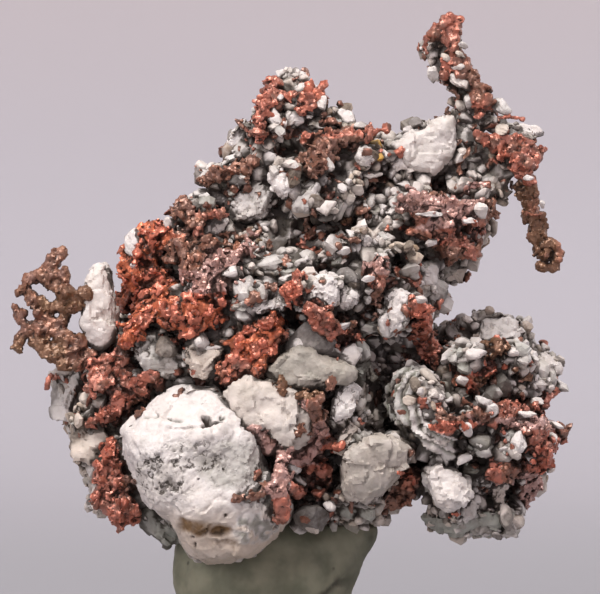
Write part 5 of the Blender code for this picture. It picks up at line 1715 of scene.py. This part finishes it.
# Copper patches, part by part of the specimen, each as the fields of a Patch.
B, R, P, O, K = Hue.BRIGHT, Hue.RED, Hue.PLUM, Hue.OLIVE, Hue.BROWN
PATCHES = {
    "main": [
        (-19.5, 47.5, 2.9, 3.2, B), (-17.6, 52.6, 2.0, 2.4, B), (-16.2, 55.0, 1.3, 0.9, B),
        (-19.8, 43.4, 2.2, 2.6, B), (-15.4, 43.6, 3.0, 1.8, B), (-11.6, 43.4, 3.2, 3.0, B),
        (-16.2, 48.0, 1.8, 2.0, B, 20), (-8.6, 45.7, 1.7, 1.3, B), (-19.8, 40.7, 1.5, 1.2, B),
        # The brown patch at (-12.8, 51.2) fills the hollow of the main cluster; its dark brown is partly
        # painted shade.
        (-12.8, 51.2, 3.6, 1.6, K), (-12.6, 48.5, 3.6, 0.7, P, 10), (-8.4, 50.4, 2.5, 1.7, P, 30),
        (-6.6, 47.8, 1.7, 0.7, P, -15), (-9.4, 46.9, 2.6, 0.7, P), (-10.4, 53.1, 1.8, 1.1, K),
        (-6.6, 53.2, 1.8, 1.0, K), (-4.6, 52.4, 1.4, 1.4, P),
    ],
    "front": [
        (-2.3, 42.8, 1.9, 1.4, B), (-4.6, 40.4, 2.4, 1.4, B), (-3.4, 38.2, 2.4, 1.7, B),
        (-5.6, 37.0, 2.6, 1.5, R), (-8.0, 35.2, 1.2, 1.4, R, 20), (-8.9, 40.6, 1.6, 0.8, K, -30),
        (-6.3, 41.6, 0.9, 0.5, K), (-1.3, 39.3, 1.2, 0.6, B, 30), (-11.0, 35.3, 0.7, 0.7, B),
        (-12.8, 36.3, 1.6, 0.3, R, -10),
    ],
    "curtain": [
        (-21.5, 37.9, 2.3, 2.0, R), (-24.0, 36.2, 2.0, 1.6, R), (-20.4, 34.3, 3.2, 1.6, R),
        (-24.0, 33.6, 2.0, 2.2, R), (-17.7, 34.6, 1.9, 1.4, R), (-21.7, 32.0, 2.4, 1.7, R),
        (-23.6, 29.9, 1.8, 1.0, R), (-22.9, 26.4, 1.1, 1.7, B), (-22.6, 23.4, 2.4, 1.8, R),
        (-22.3, 20.9, 2.6, 1.5, R), (-20.4, 18.0, 1.8, 2.0, R, 20), (-19.9, 22.0, 1.2, 1.6, K),
        (-18.6, 31.8, 1.8, 1.2, K),
    ],
    "sheet": [
        (-3.0, 28.3, 1.6, 1.2, P, 40), (-1.2, 26.6, 1.7, 1.0, P, 45), (1.8, 26.0, 2.6, 1.3, P, 10),
        (-1.0, 24.0, 1.2, 1.8, P, -10), (4.0, 23.5, 1.9, 0.8, R, 15), (2.0, 20.9, 1.3, 1.1, R),
        (-0.9, 22.0, 1.2, 1.4, P), (-0.4, 19.0, 1.0, 1.9, R, -10), (-4.6, 20.7, 1.9, 0.9, K),
        (-3.0, 22.9, 0.9, 0.7, K), (4.2, 21.6, 1.0, 1.2, R, -30), (6.0, 27.3, 1.4, 0.9, B, -20),
        (5.3, 24.9, 0.9, 0.4, B), (5.8, 18.0, 0.9, 0.6, R), (4.4, 32.0, 1.0, 2.2, K, 15),
        (2.3, 29.1, 1.7, 1.1, K), (4.6, 29.2, 1.2, 1.0, P), (-0.8, 35.0, 1.1, 0.9, O),
        (0.4, 33.8, 1.6, 0.7, O, 10), (3.2, 33.9, 2.0, 0.6, O, -5), (5.8, 34.8, 0.9, 0.9, K),
        (3.9, 27.4, 1.2, 0.8, P), (6.0, 23.2, 0.6, 0.5, R), (2.4, 18.8, 1.1, 1.2, K),
    ],
    "centre": [
        (0.8, 46.4, 1.4, 1.2, B, -20), (2.2, 48.4, 0.9, 1.4, R, 10), (4.2, 44.6, 1.9, 1.1, R, 20),
        (5.0, 43.2, 1.3, 1.0, R), (5.6, 41.0, 1.6, 0.9, R, 20), (8.3, 40.6, 1.6, 0.7, R, -10),
        (7.0, 39.7, 1.0, 0.8, R), (9.0, 42.5, 0.9, 0.8, K), (7.6, 43.5, 1.6, 0.5, K, -10),
        (9.4, 54.7, 1.3, 1.0, K, 20), (7.5, 56.4, 1.3, 0.7, O), (12.0, 50.4, 1.6, 1.2, P, 30),
        (12.4, 47.7, 1.9, 0.8, R), (14.6, 48.3, 1.4, 0.7, K), (16.6, 50.5, 0.8, 1.0, B),
        (16.5, 48.3, 0.7, 0.8, R), (11.9, 45.7, 0.8, 1.4, K, 10), (17.2, 43.1, 1.0, 1.7, B),
        (17.7, 40.6, 1.5, 1.5, R), (19.2, 38.5, 1.6, 1.3, R, 20), (20.8, 36.9, 1.0, 0.8, R, 30),
        (19.8, 45.2, 0.6, 0.8, R), (20.4, 41.2, 0.9, 1.0, K), (16.2, 45.0, 0.8, 0.8, R),
        (6.3, 44.0, 0.7, 0.6, K),
    ],
    "upper": [
        (3.4, 63.2, 2.7, 1.9, K), (2.4, 66.4, 0.9, 0.7, R), (4.0, 65.4, 2.0, 0.8, K),
        (5.2, 61.4, 0.9, 1.2, K), (8.0, 65.6, 1.6, 0.7, K, -10), (-9.0, 61.4, 3.0, 1.3, K, -10),
        (-13.4, 56.7, 1.2, 1.9, K), (-8.6, 56.4, 1.1, 0.8, R), (-12.0, 55.3, 1.5, 0.6, K),
        (-5.0, 62.8, 2.4, 1.2, K, -20), (-11.0, 54.0, 0.8, 1.3, R), (5.9, 58.7, 0.9, 0.4, R, -30),
        (10.3, 59.6, 1.8, 1.2, K), (12.8, 59.3, 1.6, 0.9, P), (9.9, 61.0, 1.1, 0.8, K),
        (15.3, 64.7, 0.9, 0.5, R), (-3.7, 66.2, 1.0, 2.0, R), (-3.3, 69.6, 1.0, 1.3, R),
        (-9.6, 57.6, 0.6, 0.8, K), (-6.9, 59.4, 0.5, 1.2, K), (1.1, 61.8, 1.0, 0.7, K),
    ],
    "shoulder": [
        (14.8, 55.1, 1.4, 0.8, B), (17.2, 56.0, 1.9, 0.8, R, 10), (20.4, 55.8, 3.2, 1.2, P),
        (21.6, 53.6, 2.6, 1.4, R), (19.0, 57.6, 4.2, 1.1, P), (15.2, 58.8, 2.6, 1.0, P),
        (24.3, 54.3, 1.8, 1.3, R), (22.8, 58.6, 2.4, 1.2, P, 10), (25.7, 53.2, 1.0, 1.0, K),
        (27.0, 58.0, 1.0, 1.3, K), (20.8, 51.4, 2.2, 1.3, K), (23.8, 51.2, 0.9, 0.8, R, 20),
        (20.3, 60.2, 1.8, 1.2, K), (23.9, 60.2, 1.6, 0.8, P), (26.9, 55.2, 0.9, 0.9, K),
    ],
    "lobe": [
        (18.3, 32.2, 1.4, 0.9, R, 20), (21.0, 29.6, 2.5, 0.7, B), (25.1, 30.9, 1.3, 0.6, K, 30),
        (26.0, 36.8, 1.9, 0.8, B, -5), (23.0, 34.2, 0.8, 1.3, B), (26.9, 39.1, 2.0, 1.1, O, 15),
        (28.6, 31.9, 1.7, 1.4, R, 20), (31.6, 29.7, 3.4, 0.8, P, 8), (32.6, 27.5, 2.3, 1.7, R),
        (32.4, 24.1, 2.2, 1.1, B, 10), (31.8, 21.2, 2.0, 2.4, P, -10), (29.3, 23.9, 1.1, 1.5, K, 20),
        (26.7, 23.3, 0.8, 0.7, R), (35.0, 26.2, 1.6, 1.6, R), (36.0, 29.0, 0.8, 1.4, K),
        (33.6, 32.2, 1.8, 1.2, R), (35.0, 32.6, 0.8, 1.2, R), (32.0, 37.6, 0.6, 1.4, R, 10),
        (31.9, 42.1, 0.5, 1.4, K, 10), (25.4, 21.2, 1.0, 0.9, K), (22.0, 17.9, 0.9, 0.8, B, 20),
        (20.7, 31.0, 1.8, 0.8, K, 20), (27.5, 33.9, 1.4, 1.1, K), (30.6, 35.8, 1.2, 0.5, O, 20),
        (27.6, 28.0, 0.8, 0.9, R), (29.6, 19.2, 1.4, 0.9, R), (24.4, 24.8, 0.9, 0.7, K),
        (15.3, 22.9, 1.6, 0.9, B, 10), (13.6, 19.5, 2.6, 1.3, K), (16.6, 25.4, 1.2, 1.0, K, 30),
        (22.6, 32.3, 0.9, 0.8, K), (19.8, 34.9, 0.8, 0.7, K), (28.9, 26.0, 0.9, 0.9, R),
    ],
}

# Thin branches: the growth that they belong to, the line that each follows as x and z, and its half-width.
BRANCHES: dict[str, Branches] = {
    "copper_elbow": (
        (((31.0, 64.6), (31.4, 62.8), (31.6, 61.0)), 0.8),
    ),
    "copper_left_fan": (
        (((-29.6, 51.5), (-30.1, 50.3), (-31.0, 49.3), (-31.2, 48.7)), 0.95),
        (((-34.2, 46.6), (-33.6, 48.0), (-32.4, 48.8), (-30.2, 48.7), (-28.2, 49.0)), 0.75),
        (((-28.5, 48.2), (-28.5, 49.5)), 0.6),
        (((-31.4, 48.4), (-30.0, 47.6), (-28.8, 46.4), (-27.2, 46.2), (-25.4, 46.4)), 0.85),
        (((-33.0, 45.5), (-31.6, 44.9), (-30.0, 44.4), (-28.2, 44.6), (-26.2, 45.0)), 0.85),
        (((-34.9, 44.7), (-34.4, 43.4), (-33.6, 42.0)), 0.65),
        (((-34.6, 39.5), (-34.2, 41.2), (-32.4, 41.8), (-30.0, 41.7), (-28.6, 42.6), (-28.2, 44.3)), 0.75),
        (((-32.0, 43.5), (-30.6, 43.3), (-29.6, 42.2)), 0.8),
        (((-32.4, 40.2), (-31.0, 39.0), (-29.0, 38.4), (-27.4, 38.0)), 1.05),
        (((-29.4, 41.4), (-28.0, 40.4), (-26.2, 40.0)), 0.85),
        (((-28.6, 37.4), (-27.2, 37.0), (-25.6, 38.0)), 0.95),
    ),
    "copper_arm_upper": (
        (((19.6, 79.8), (20.4, 81.2), (21.4, 82.0)), 0.85),
        (((22.5, 81.9), (22.6, 80.4), (21.9, 79.2)), 0.65),
    ),
    "copper_finger": (
        (((31.4, 61.4), (31.8, 59.6), (32.2, 57.8)), 0.9),
        (((33.6, 52.9), (34.8, 52.9), (35.6, 52.0), (35.4, 50.6)), 0.55),
        (((33.0, 50.0), (34.2, 49.6), (35.2, 49.8)), 0.6),
    ),
    "copper_peak_horn": (
        (((2.2, 71.2), (2.8, 72.4), (3.4, 73.5)), 0.6),
        (((3.6, 71.6), (4.8, 72.4), (5.0, 73.4)), 0.5),
    ),
}
# Flat ribbons of the front sheet.
RIBBONS: Branches = (
    (((-4.3, 29.0), (-3.3, 28.2), (-2.2, 27.4), (-1.2, 26.6), (-0.3, 25.7)), 1.25),
    (((-0.3, 25.7), (-0.6, 24.2), (-0.7, 22.6), (-0.7, 21.25), (-0.4, 19.6), (-0.3, 18.4)), 1.0),
    (((-0.4, 25.5), (1.0, 25.8), (2.4, 26.2), (3.8, 26.6), (5.2, 27.5)), 1.25),
    (((0.2, 24.8), (1.8, 25.0), (3.4, 24.2), (5.2, 23.4)), 1.0),
    (((-0.2, 22.6), (1.0, 21.8), (2.4, 20.8)), 0.85),
)
# Thin branches that stand by themselves.
LOOSE_BRANCHES: Branches = (
    (((-14.0, 55.4), (-14.4, 56.8), (-13.8, 58.3), (-12.8, 58.6), (-12.2, 57.4), (-12.4, 55.9)), 0.42),
    (((-30.8, 34.3), (-30.4, 35.5), (-29.0, 35.5), (-28.4, 34.5)), 0.42),
    (((27.6, 69.2), (29.2, 69.2), (30.9, 69.0)), 0.28),
    (((-14.2, 36.3), (-12.8, 36.5), (-11.4, 36.1)), 0.24),
    (((-0.6, 39.6), (0.2, 41.0), (0.1, 42.6)), 0.4),
    (((18.6, 77.6), (18.1, 78.6), (18.4, 79.6)), 0.4),
    (((36.0, 27.6), (36.6, 28.8), (37.0, 29.3)), 0.4),
)


@dataclass(frozen=True)
class Growth:
    """Look of a copper growth.

    Attributes:
        first: Its main hue.
        second: Its second hue.
        slot: The record's material slot.
        crowd: Crystals to a square millimetre.
        size: Mean half-size of its crystals, in millimetres.
        inset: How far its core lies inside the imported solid, in millimetres.
    """

    first: Hue
    second: Hue
    slot: str
    crowd: float = 0.85
    size: float = 0.62
    inset: float = 0.35


GROWTHS = {
    "copper_left_fan": Growth(O, K, "tarnished_copper", 0.35, 0.5, 0.5),
    "copper_main_cluster": Growth(B, R, "bright_copper", 0.8, 0.72),
    "copper_front_cluster": Growth(B, R, "bright_copper", 0.9, 0.62),
    "copper_curtain_upper": Growth(R, B, "red_copper", 0.85, 0.66),
    "copper_curtain_lower": Growth(R, K, "red_copper", 0.85, 0.66),
    "copper_peak_crust": Growth(R, B, "red_copper"),
    "copper_peak_horn": Growth(R, B, "red_copper", 0.7, 0.5),
    "copper_ridge_left": Growth(K, O, "tarnished_copper"),
    "copper_left_buds": Growth(K, R, "tarnished_copper"),
    "copper_top_ridge": Growth(R, K, "red_copper"),
    "copper_arm_upper": Growth(R, K, "red_copper"),
    "copper_elbow": Growth(R, R, "red_copper", 0.9, 0.66),
    "copper_finger": Growth(O, R, "tarnished_copper"),
    "copper_shoulder": Growth(P, R, "tarnished_copper", 0.6, 0.62),
    "copper_centre_bud": Growth(B, K, "red_copper"),
    "copper_lace": Growth(R, B, "red_copper"),
    "copper_brown_patch": Growth(K, P, "tarnished_copper"),
    "copper_strap": Growth(R, B, "red_copper"),
    "copper_front_sheet": Growth(P, K, "tarnished_copper", 0.35, 0.55, 0.6),
    "copper_lobe_crust": Growth(R, P, "red_copper"),
    "copper_lobe_top": Growth(R, O, "red_copper"),
    "copper_neck_tuft": Growth(K, R, "tarnished_copper"),
    "copper_back_cluster": Growth(R, K, "tarnished_copper"),
    "copper_back_crust": Growth(P, R, "tarnished_copper"),
}


@dataclass
class Copper:
    """The copper growths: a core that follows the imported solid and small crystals, fused into one rough skin.

    Attributes:
        core_voxel: Width of the core's quads.
        voxel: Width of the fused skin's quads.
        patch_crowd: Crystals to a square millimetre of a patch.
        patch_size: Mean half-size of a patch's crystals.
        seed: Seed of all chance in the copper.
    """

    core_voxel: float = 0.45
    voxel: float = 0.20
    patch_crowd: float = 1.1
    patch_size: float = 0.52
    seed: int = 19

    def __post_init__(self) -> None:
        """Starts the source of chance and reads the patches."""
        self.draw = np.random.default_rng(self.seed)
        self.patches = [Patch(*row) for rows in PATCHES.values() for row in rows]

    def crystals_on(self, places: Array, facing: Array, size: float) -> Surface:
        """Small crystals of three habits, standing on a surface.

        Args:
            places: Where they stand.
            facing: The outward direction there.
            size: Their mean half-size.

        Returns:
            Their surface.
        """
        many = len(places)
        kinds = self.draw.choice(3, many, p=(0.35, 0.50, 0.15))
        habits = np.array([habit.value for habit in Habit])[kinds]
        sizes = np.clip(self.draw.lognormal(np.log(size), 0.35, many), 0.5 * size, 2.0 * size)
        halves = np.maximum(sizes[:, None] * habits, 0.8 * self.voxel)
        axes = 0.7 * facing + unit(self.draw.normal(size=(many, 3)))
        centres = places + facing * (self.draw.uniform(-0.1, 0.5, many) * sizes)[:, None]
        lobes = np.where(kinds == 1, 0.30, 0.08)
        frames = frames_about(axes, self.draw)
        return lumps(centres, frames, halves, self.draw.uniform(12, 30, many), (5, 10), 8, self.draw, lobes)

    def roughened(self, skin: Surface, seed: int) -> Surface:
        """Gives a fused skin small flat chips.

        Args:
            skin: The skin.
            seed: Which chips.

        Returns:
            The skin, with a mark "bit" that varies from crystal to crystal and a mark "crevice" in hollows,
            where the finish paints shade.
        """
        points = skin.points
        _, _, owner, _ = cells_of(points, 1.1, seed)
        relief = 0.17 * chipped(points, 0.85, 1.2, seed + 3) + 0.07 * chipped(points, 0.42, 1.1, seed + 5)
        skin = skin.moved(relief)
        skin.marks["bit"] = chance(owner, seed + 7)
        # Painted shade: the hollows are marked for darkening.
        skin.marks["crevice"] = smooth_step(skin.hollows(4), 0.008, 0.11)
        return skin

    def growth(self, node: bpy.types.Object, look: Growth, seed: int) -> Surface:
        """One growth: its core, crystals grown all over it and its thin branches, fused into one skin.

        Args:
            node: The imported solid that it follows.
            look: Its look.
            seed: Which relief.

        Returns:
            The growth, with its marks.
        """
        core = remade(node, self.core_voxel).softened(1)
        core = core.moved(0.25 * chipped(core.points, 1.4, 1.1, seed) - look.inset)
        area = np.linalg.norm(core.facing(core.halves()), axis=1).sum() / 2
        places, facing = core.scattered(int(look.crowd * area), self.draw)
        parts = [core, self.crystals_on(places, facing, look.size)]
        if node.name in BRANCHES:
            parts.append(strung(BRANCHES[node.name], core.tree(), self.draw, 0.8 * self.voxel))
        skin = self.roughened(fused(parts, self.voxel), seed)
        share = smooth_step(cloud(skin.points, 3.0, seed + 9), -0.15, 0.45)
        return self.hued(skin, blended(look.first, look.second, share))

    def hued(self, skin: Surface, looks: Array) -> Surface:
        """Marks a skin's glow, plum and olive.

        Args:
            skin: The skin.
            looks: Glow, plum and olive of each point, which the patches on the front paint over.

        Returns:
            The skin with its marks.
        """
        x, z = skin.points[:, 0], skin.points[:, 2]
        nearest = np.full(len(x), 1.45)
        in_front = skin.points[:, 1] < 4.0
        for patch in self.patches:
            lean = np.radians(patch.lean)
            level = (x - patch.x) * np.cos(lean) - (z - patch.z) * np.sin(lean)
            upright = (x - patch.x) * np.sin(lean) + (z - patch.z) * np.cos(lean)
            reach = np.hypot(level / patch.half_width, upright / patch.half_height)
            closer = in_front & (reach < nearest)
            nearest = np.where(closer, reach, nearest)
            looks = np.where(closer[:, None], np.array(patch.hue.value), looks)
        skin.marks |= {"glow": looks[:, 0], "plum": looks[:, 1], "olive": looks[:, 2]}
        return skin

    def flecks(self, tree: BVHTree) -> Surface:
        """Crystals within the patches, the ribbons and the loose thin branches, all on the front.

        Args:
            tree: Search tree of what they grow on.

        Returns:
            Their skin, with its marks.
        """
        seats = [self.seats_in(patch, tree) for patch in self.patches]
        places = np.concatenate([s[0] for s in seats])
        facing = np.concatenate([s[1] for s in seats])
        parts = [
            self.crystals_on(places, facing, self.patch_size),
            strung(LOOSE_BRANCHES, tree, self.draw, 0.8 * self.voxel),
            strung(RIBBONS, tree, self.draw, 0.3, 0.4),
        ]
        skin = self.roughened(fused(parts, 1.1 * self.voxel), 141)
        return self.hued(skin, np.tile(Hue.RED.value, (len(skin.points), 1)))

    def specks(self, body: Surface) -> Surface:
        """Chance crystals of brown and red copper between the calcite grains of the front.

        Args:
            body: The calcite's body.

        Returns:
            The crystals' skin, with its marks.
        """
        places, facing = body.scattered(9000, self.draw)
        x, y, z = places.T
        keep = (facing[:, 1] < -0.1) & (y < 3) & (z > 28) & (cloud(places, 3.5, 149) > -0.1)
        keep &= (z > 42) | (x > 14) | (x < -12)
        keep &= oval(x, z, (17.6, 31.0), (4.2, 5.6), 0.1) < 0.5
        skin = fused([self.crystals_on((places + 0.45 * facing)[keep], facing[keep], 0.48)], 1.1 * self.voxel)
        skin = self.roughened(skin, 143)
        return self.hued(skin, blended(R, K, smooth_step(cloud(skin.points, 2.5, 147), -0.7, 0.0)))

    def seats_in(self, patch: Patch, tree: BVHTree) -> tuple[Array, Array]:
        """Places for the crystals of one patch.

        Args:
            patch: The patch.
            tree: Search tree of what it grows on.

        Returns:
            The places on the front that rays meet, and the way that a crystal stands at each.
        """
        many = int(self.patch_crowd * np.pi * patch.half_width * patch.half_height) + 3
        radius, angle = np.sqrt(self.draw.random(many)) * 0.95, 2 * np.pi * self.draw.random(many)
        level, upright = radius * np.cos(angle) * patch.half_width, radius * np.sin(angle) * patch.half_height
        lean = np.radians(patch.lean)
        x = patch.x + level * np.cos(lean) + upright * np.sin(lean)
        z = patch.z - level * np.sin(lean) + upright * np.cos(lean)
        rays = [met_from_front(tree, a, b) for a, b in zip(x, z)]
        hits = [(tuple(place), tuple(normal)) for place, normal in rays if place is not None]
        if not hits:
            return np.zeros((0, 3)), np.zeros((0, 3))
        places, normals = np.array(hits, float).transpose(1, 0, 2)
        return places, unit(normals + 0.4 * FRONT)

    def back_flecks(self, body: Surface, tree: BVHTree) -> Surface:
        """Crystals in chance blots over the sides and the back, on whatever stands out there.

        Args:
            body: The calcite's body.
            tree: Search tree of the body with its lumps and grains.

        Returns:
            The crystals.
        """
        places, facing = body.scattered(6000, self.draw)
        blot = cloud(places, 7.0, 151) + 0.45 * cloud(places, 2.2, 152)
        keep = (blot > 0.27) & ((facing[:, 1] > -0.2) | (places[:, 1] > 3)) & (places[:, 2] > 16.5)
        seats = zip(places[keep], facing[keep])
        rays = [tree.ray_cast(Vector(place + 5 * out), Vector(-out), 6.0)[:2] for place, out in seats]
        hits = np.array([(tuple(place), tuple(normal)) for place, normal in rays if place is not None], float)
        skin = fused([self.crystals_on(hits[:, 0], hits[:, 1], 0.62)], 1.3 * self.voxel)
        skin = self.roughened(skin, 153)
        return self.hued(skin, blended(R, K, smooth_step(cloud(skin.points, 4.0, 159), -0.3, 0.4)))


# -------------------- Putty


@dataclass
class Putty:
    """The pinch of putty: pressed faces with dents, and a fold near its foot.

    Attributes:
        node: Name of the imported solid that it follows.
        voxel: Width of its quads.
        fold: Line of the fold, as x and z.
    """

    node: str = "display_putty"
    voxel: float = 0.5
    fold: Line = ((3.4, 6.6), (5.2, 7.6), (6.6, 8.8), (8.8, 9.4))

    def surface(self, frame: dict) -> Surface:
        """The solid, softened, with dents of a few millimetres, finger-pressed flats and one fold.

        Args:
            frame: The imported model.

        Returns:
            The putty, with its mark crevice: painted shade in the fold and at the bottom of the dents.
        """
        putty = remade(frame["nodes"][self.node], self.voxel).softened(8)
        points = putty.points
        near, _, _, _ = cells_of(points, 5.5, 161)
        in_front = smooth_step(-points[:, 1], 2.0, 5.0)
        fold = groove(points[:, 0], points[:, 2], self.fold, 0.7) * in_front
        pressed = smooth_step(points[:, 2], 0.2, 1.5)
        relief = 0.45 * cloud(points, 4.5, 162) + 0.35 * (near - 0.5)
        relief = relief + 0.08 * layered_cloud(points, 1.2, 3, 163)
        putty = putty.moved(pressed * (relief - 0.5 * fold))
        putty.marks = {"crevice": np.clip(fold + 0.5 * smooth_step(-near, -0.16, -0.05), 0, 1)}
        return putty


# -------------------- Stage


@dataclass
class Stage:
    """A pale floor that curves up into a wall, soft lights and the camera, in metres.

    Attributes:
        flat: Radius of the level floor.
        wall: Radius of the wall.
        height: Height of the wall.
        aim: What the camera looks at.
        distance: How far away the camera stands.
        frame_width: Width that the camera sees at that distance.
        turns: Points of the backdrop round its axis.
    """

    flat: float = 0.45
    wall: float = 1.7
    height: float = 1.5
    aim: tuple[float, float, float] = (0.00195, 0.0, 0.0459)
    distance: float = 0.60
    frame_width: float = 0.078
    turns: int = 96

    def backdrop(self) -> bpy.types.Object:
        """The floor and wall: a level stretch and a quarter of an ellipse, turned about the axis."""
        curve, turns = np.linspace(0.0, np.pi / 2, 40)[1:], self.turns
        radius = self.flat + (self.wall - self.flat) * np.sin(curve)
        radius = np.concatenate((np.linspace(0.01, self.flat, 8), radius))[:, None]
        height = np.concatenate((np.zeros(8), self.height * (1 - np.cos(curve))))[:, None]
        around = 2 * np.pi * np.arange(turns) / turns
        grid = np.stack((radius * np.cos(around), radius * np.sin(around), height + 0 * around), axis=2)
        points = np.concatenate((grid.reshape(-1, 3), [(0.0, 0.0, 0.0)]))
        row, step = np.meshgrid(np.arange(len(radius) - 1) * turns, np.arange(turns), indexing="ij")
        after = (step + 1) % turns
        quads = np.stack((row + step, row + turns + step, row + turns + after, row + after), axis=2)
        middle = np.stack((np.full(turns, len(points) - 1), step[0], after[0]), axis=1)
        mesh = bpy.data.meshes.new("backdrop")
        mesh.from_pydata(points.tolist(), [], quads.reshape(-1, 4).tolist() + middle.tolist())
        mesh.polygons.foreach_set("use_smooth", np.ones(len(mesh.polygons), bool))
        board = Board("pale_backdrop", Roughness=0.9, Specular_IOR_Level=0.1)
        away = board.add("ShaderNodeVectorMath", {"operation": "LENGTH"}, {0: board.place}, "Value")
        rise = board.add("ShaderNodeSeparateXYZ", {}, {0: board.place}, "Z")
        # Painted shade: the floor darkens towards its middle, under the specimen; the wall is a little darker
        # low down.
        wall = board.mix(rise.step(0.05, 0.2), paint(219, 215, 221), paint(229, 219, 221))
        colour = board.mix(away.step(0.0, 0.85), paint(148, 146, 150), wall)
        mesh.materials.append(board.finish(Base_Color=colour))
        backdrop = bpy.data.objects.new("backdrop", mesh)
        bpy.context.scene.collection.objects.link(backdrop)
        return backdrop

    def light(self, name: str, place: tuple[float, float, float], size: float, watts: float,
              colour: tuple[float, float, float]) -> bpy.types.Object:
        """A square soft light that faces the specimen.

        Args:
            name: The light's name.
            place: Where it stands.
            size: Its side.
            watts: Its power.
            colour: Its colour.

        Returns:
            The light.
        """
        lamp = bpy.data.lights.new(name, "AREA")
        lamp.size, lamp.energy, lamp.color = size, watts, colour
        light = bpy.data.objects.new(name, lamp)
        light.location = place
        light.rotation_euler = (Vector(self.aim) - Vector(place)).to_track_quat("-Z", "Y").to_euler()
        light.visible_camera = False
        bpy.context.scene.collection.objects.link(light)
        return light

    def camera(self) -> bpy.types.Object:
        """The camera: level, in front, with a long lens."""
        data = bpy.data.cameras.new("camera")
        data.sensor_width = 36.0
        data.lens = data.sensor_width * self.distance / self.frame_width
        data.clip_end = 20.0
        camera = bpy.data.objects.new("camera", data)
        camera.location = (self.aim[0], self.aim[1] - self.distance, self.aim[2])
        camera.rotation_euler = (np.pi / 2, 0.0, 0.0)
        bpy.context.scene.collection.objects.link(camera)
        bpy.context.scene.camera = camera
        return camera

    def build(self) -> None:
        """Puts up the backdrop, the lights, the camera and the air's own light."""
        world = bpy.data.worlds.new("soft_room")
        world.use_nodes = True
        world.node_tree.nodes["Background"].inputs["Color"].default_value = (0.90, 0.88, 0.92, 1.0)
        world.node_tree.nodes["Background"].inputs["Strength"].default_value = 0.49
        bpy.context.scene.world = world
        bpy.context.scene.view_settings.view_transform = "Standard"
        lights = [
            self.light("overhead", (-0.12, -0.35, 0.75), 0.45, 7.4, (1.0, 0.98, 0.96)),
            self.light("front_left", (-0.60, -0.70, 0.40), 0.40, 2.7, (1.0, 0.98, 0.97)),
            self.light("right_rim", (0.70, 0.15, 0.50), 0.35, 2.0, (0.97, 0.98, 1.0)),
        ]
        self.backdrop()
        self.camera()


# -------------------- Assembly

# Degrees from which an edge stays sharp.
CALCITE_CREASE = 26.0
COPPER_CREASE = 32.0
CREASES = {
    "calcite_front_block": 48.0,
    "calcite_small_crystals": FLAT_FACETS,
    "calcite_lumps": FLAT_FACETS,
    "calcite_front_grains": FLAT_FACETS,
    "calcite_back_grains": FLAT_FACETS,
}


def dress_putty(frame: dict) -> None:
    """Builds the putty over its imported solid."""
    finish = PuttyFinish().material("pressed_putty")
    putty = piece_of(Putty().surface(frame), "putty_pinch", finish, NO_CREASE)
    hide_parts("display_putty")


def dress_calcite(stones: dict[str, Surface], crowding: Crowding) -> None:
    """Makes the calcite's pieces, darkened in their crevices with painted shade.

    Args:
        stones: Their surfaces, by name.
        crowding: How closely all pieces stand together.
    """
    waxy = CalciteFinish().material("waxy_calcite", 0.8)
    for name, stone in stones.items():
        # Painted shade: crevices where the pieces crowd together are darkened.
        stone.marks["crevice"] = np.maximum(stone.marks.get("crevice", 0.0), crowding.crevice(stone))
        piece = piece_of(stone, name, waxy, CREASES.get(name, CALCITE_CREASE))
        if name == "calcite_body":
            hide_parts("calcite_matrix")


def dress_copper(metals: dict[str, Surface], crowding: Crowding) -> None:
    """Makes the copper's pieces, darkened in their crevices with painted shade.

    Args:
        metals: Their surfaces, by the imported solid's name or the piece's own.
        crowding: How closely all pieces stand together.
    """
    looks = {
        "bright_copper": CopperFinish(),
        "red_copper": CopperFinish(bright=paint(202, 112, 88)),
        "tarnished_copper": CopperFinish(bright=paint(204, 130, 104), roughness=0.42),
    }
    finishes = {slot: look.material(slot) for slot, look in looks.items()}
    for name, metal in metals.items():
        slot = GROWTHS[name].slot if name in GROWTHS else "red_copper"
        # Painted shade: crevices where the pieces crowd together are darkened.
        metal.marks["crevice"] = np.maximum(metal.marks["crevice"], crowding.crevice(metal, 0.18, 0.5))
        piece = piece_of(metal, name + "_growth" if name in GROWTHS else name, finishes[slot], COPPER_CREASE)
        if name in GROWTHS:
            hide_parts(name)


def build_specimen(frame: dict) -> None:
    """Builds the calcite and the copper, which lie on each other, and makes their pieces.

    Args:
        frame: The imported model.
    """
    calcite, copper = Calcite(), Copper()
    body = calcite.body(frame)
    block = FrontBlock().surface()
    metals = {name: copper.growth(frame["nodes"][name], look, 200 + 20 * i)
              for i, (name, look) in enumerate(GROWTHS.items())}
    ground = joined([body, *metals.values()]).tree()
    crystals, large = calcite.crystals(ground, False), calcite.outlined(body.tree())
    small = calcite.crystals(ground, True)
    stones = {
        "calcite_body": body,
        "calcite_front_block": block,
        "calcite_crystals": crystals,
        "calcite_small_crystals": small,
        "calcite_large_crystals": large,
        "calcite_shell": calcite.shell(body.tree()),
        "calcite_lumps": calcite.chance_lumps(body),
        "calcite_front_grains": calcite.grains(body, True),
        "calcite_back_grains": calcite.grains(body, False),
    }
    seat = joined([body, block, crystals, small, large, *metals.values()]).tree()
    heap = joined([body, stones["calcite_lumps"], stones["calcite_back_grains"]]).tree()
    metals |= {"copper_front_flecks": copper.flecks(seat), "copper_front_specks": copper.specks(body),
               "copper_back_flecks": copper.back_flecks(body, heap)}
    crowding = Crowding([s.points for s in (stones | metals).values()])
    dress_calcite(stones, crowding)
    dress_copper(metals, crowding)


def main() -> None:
    """Loads the frame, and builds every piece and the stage."""
    logging.basicConfig(level=logging.INFO, format="%(name)s: %(message)s")
    for stray in list(bpy.data.objects):
        bpy.data.objects.remove(stray)
    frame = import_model()
    dress_putty(frame)
    build_specimen(frame)
    Stage().build()


if __name__ == "__main__":
    main()
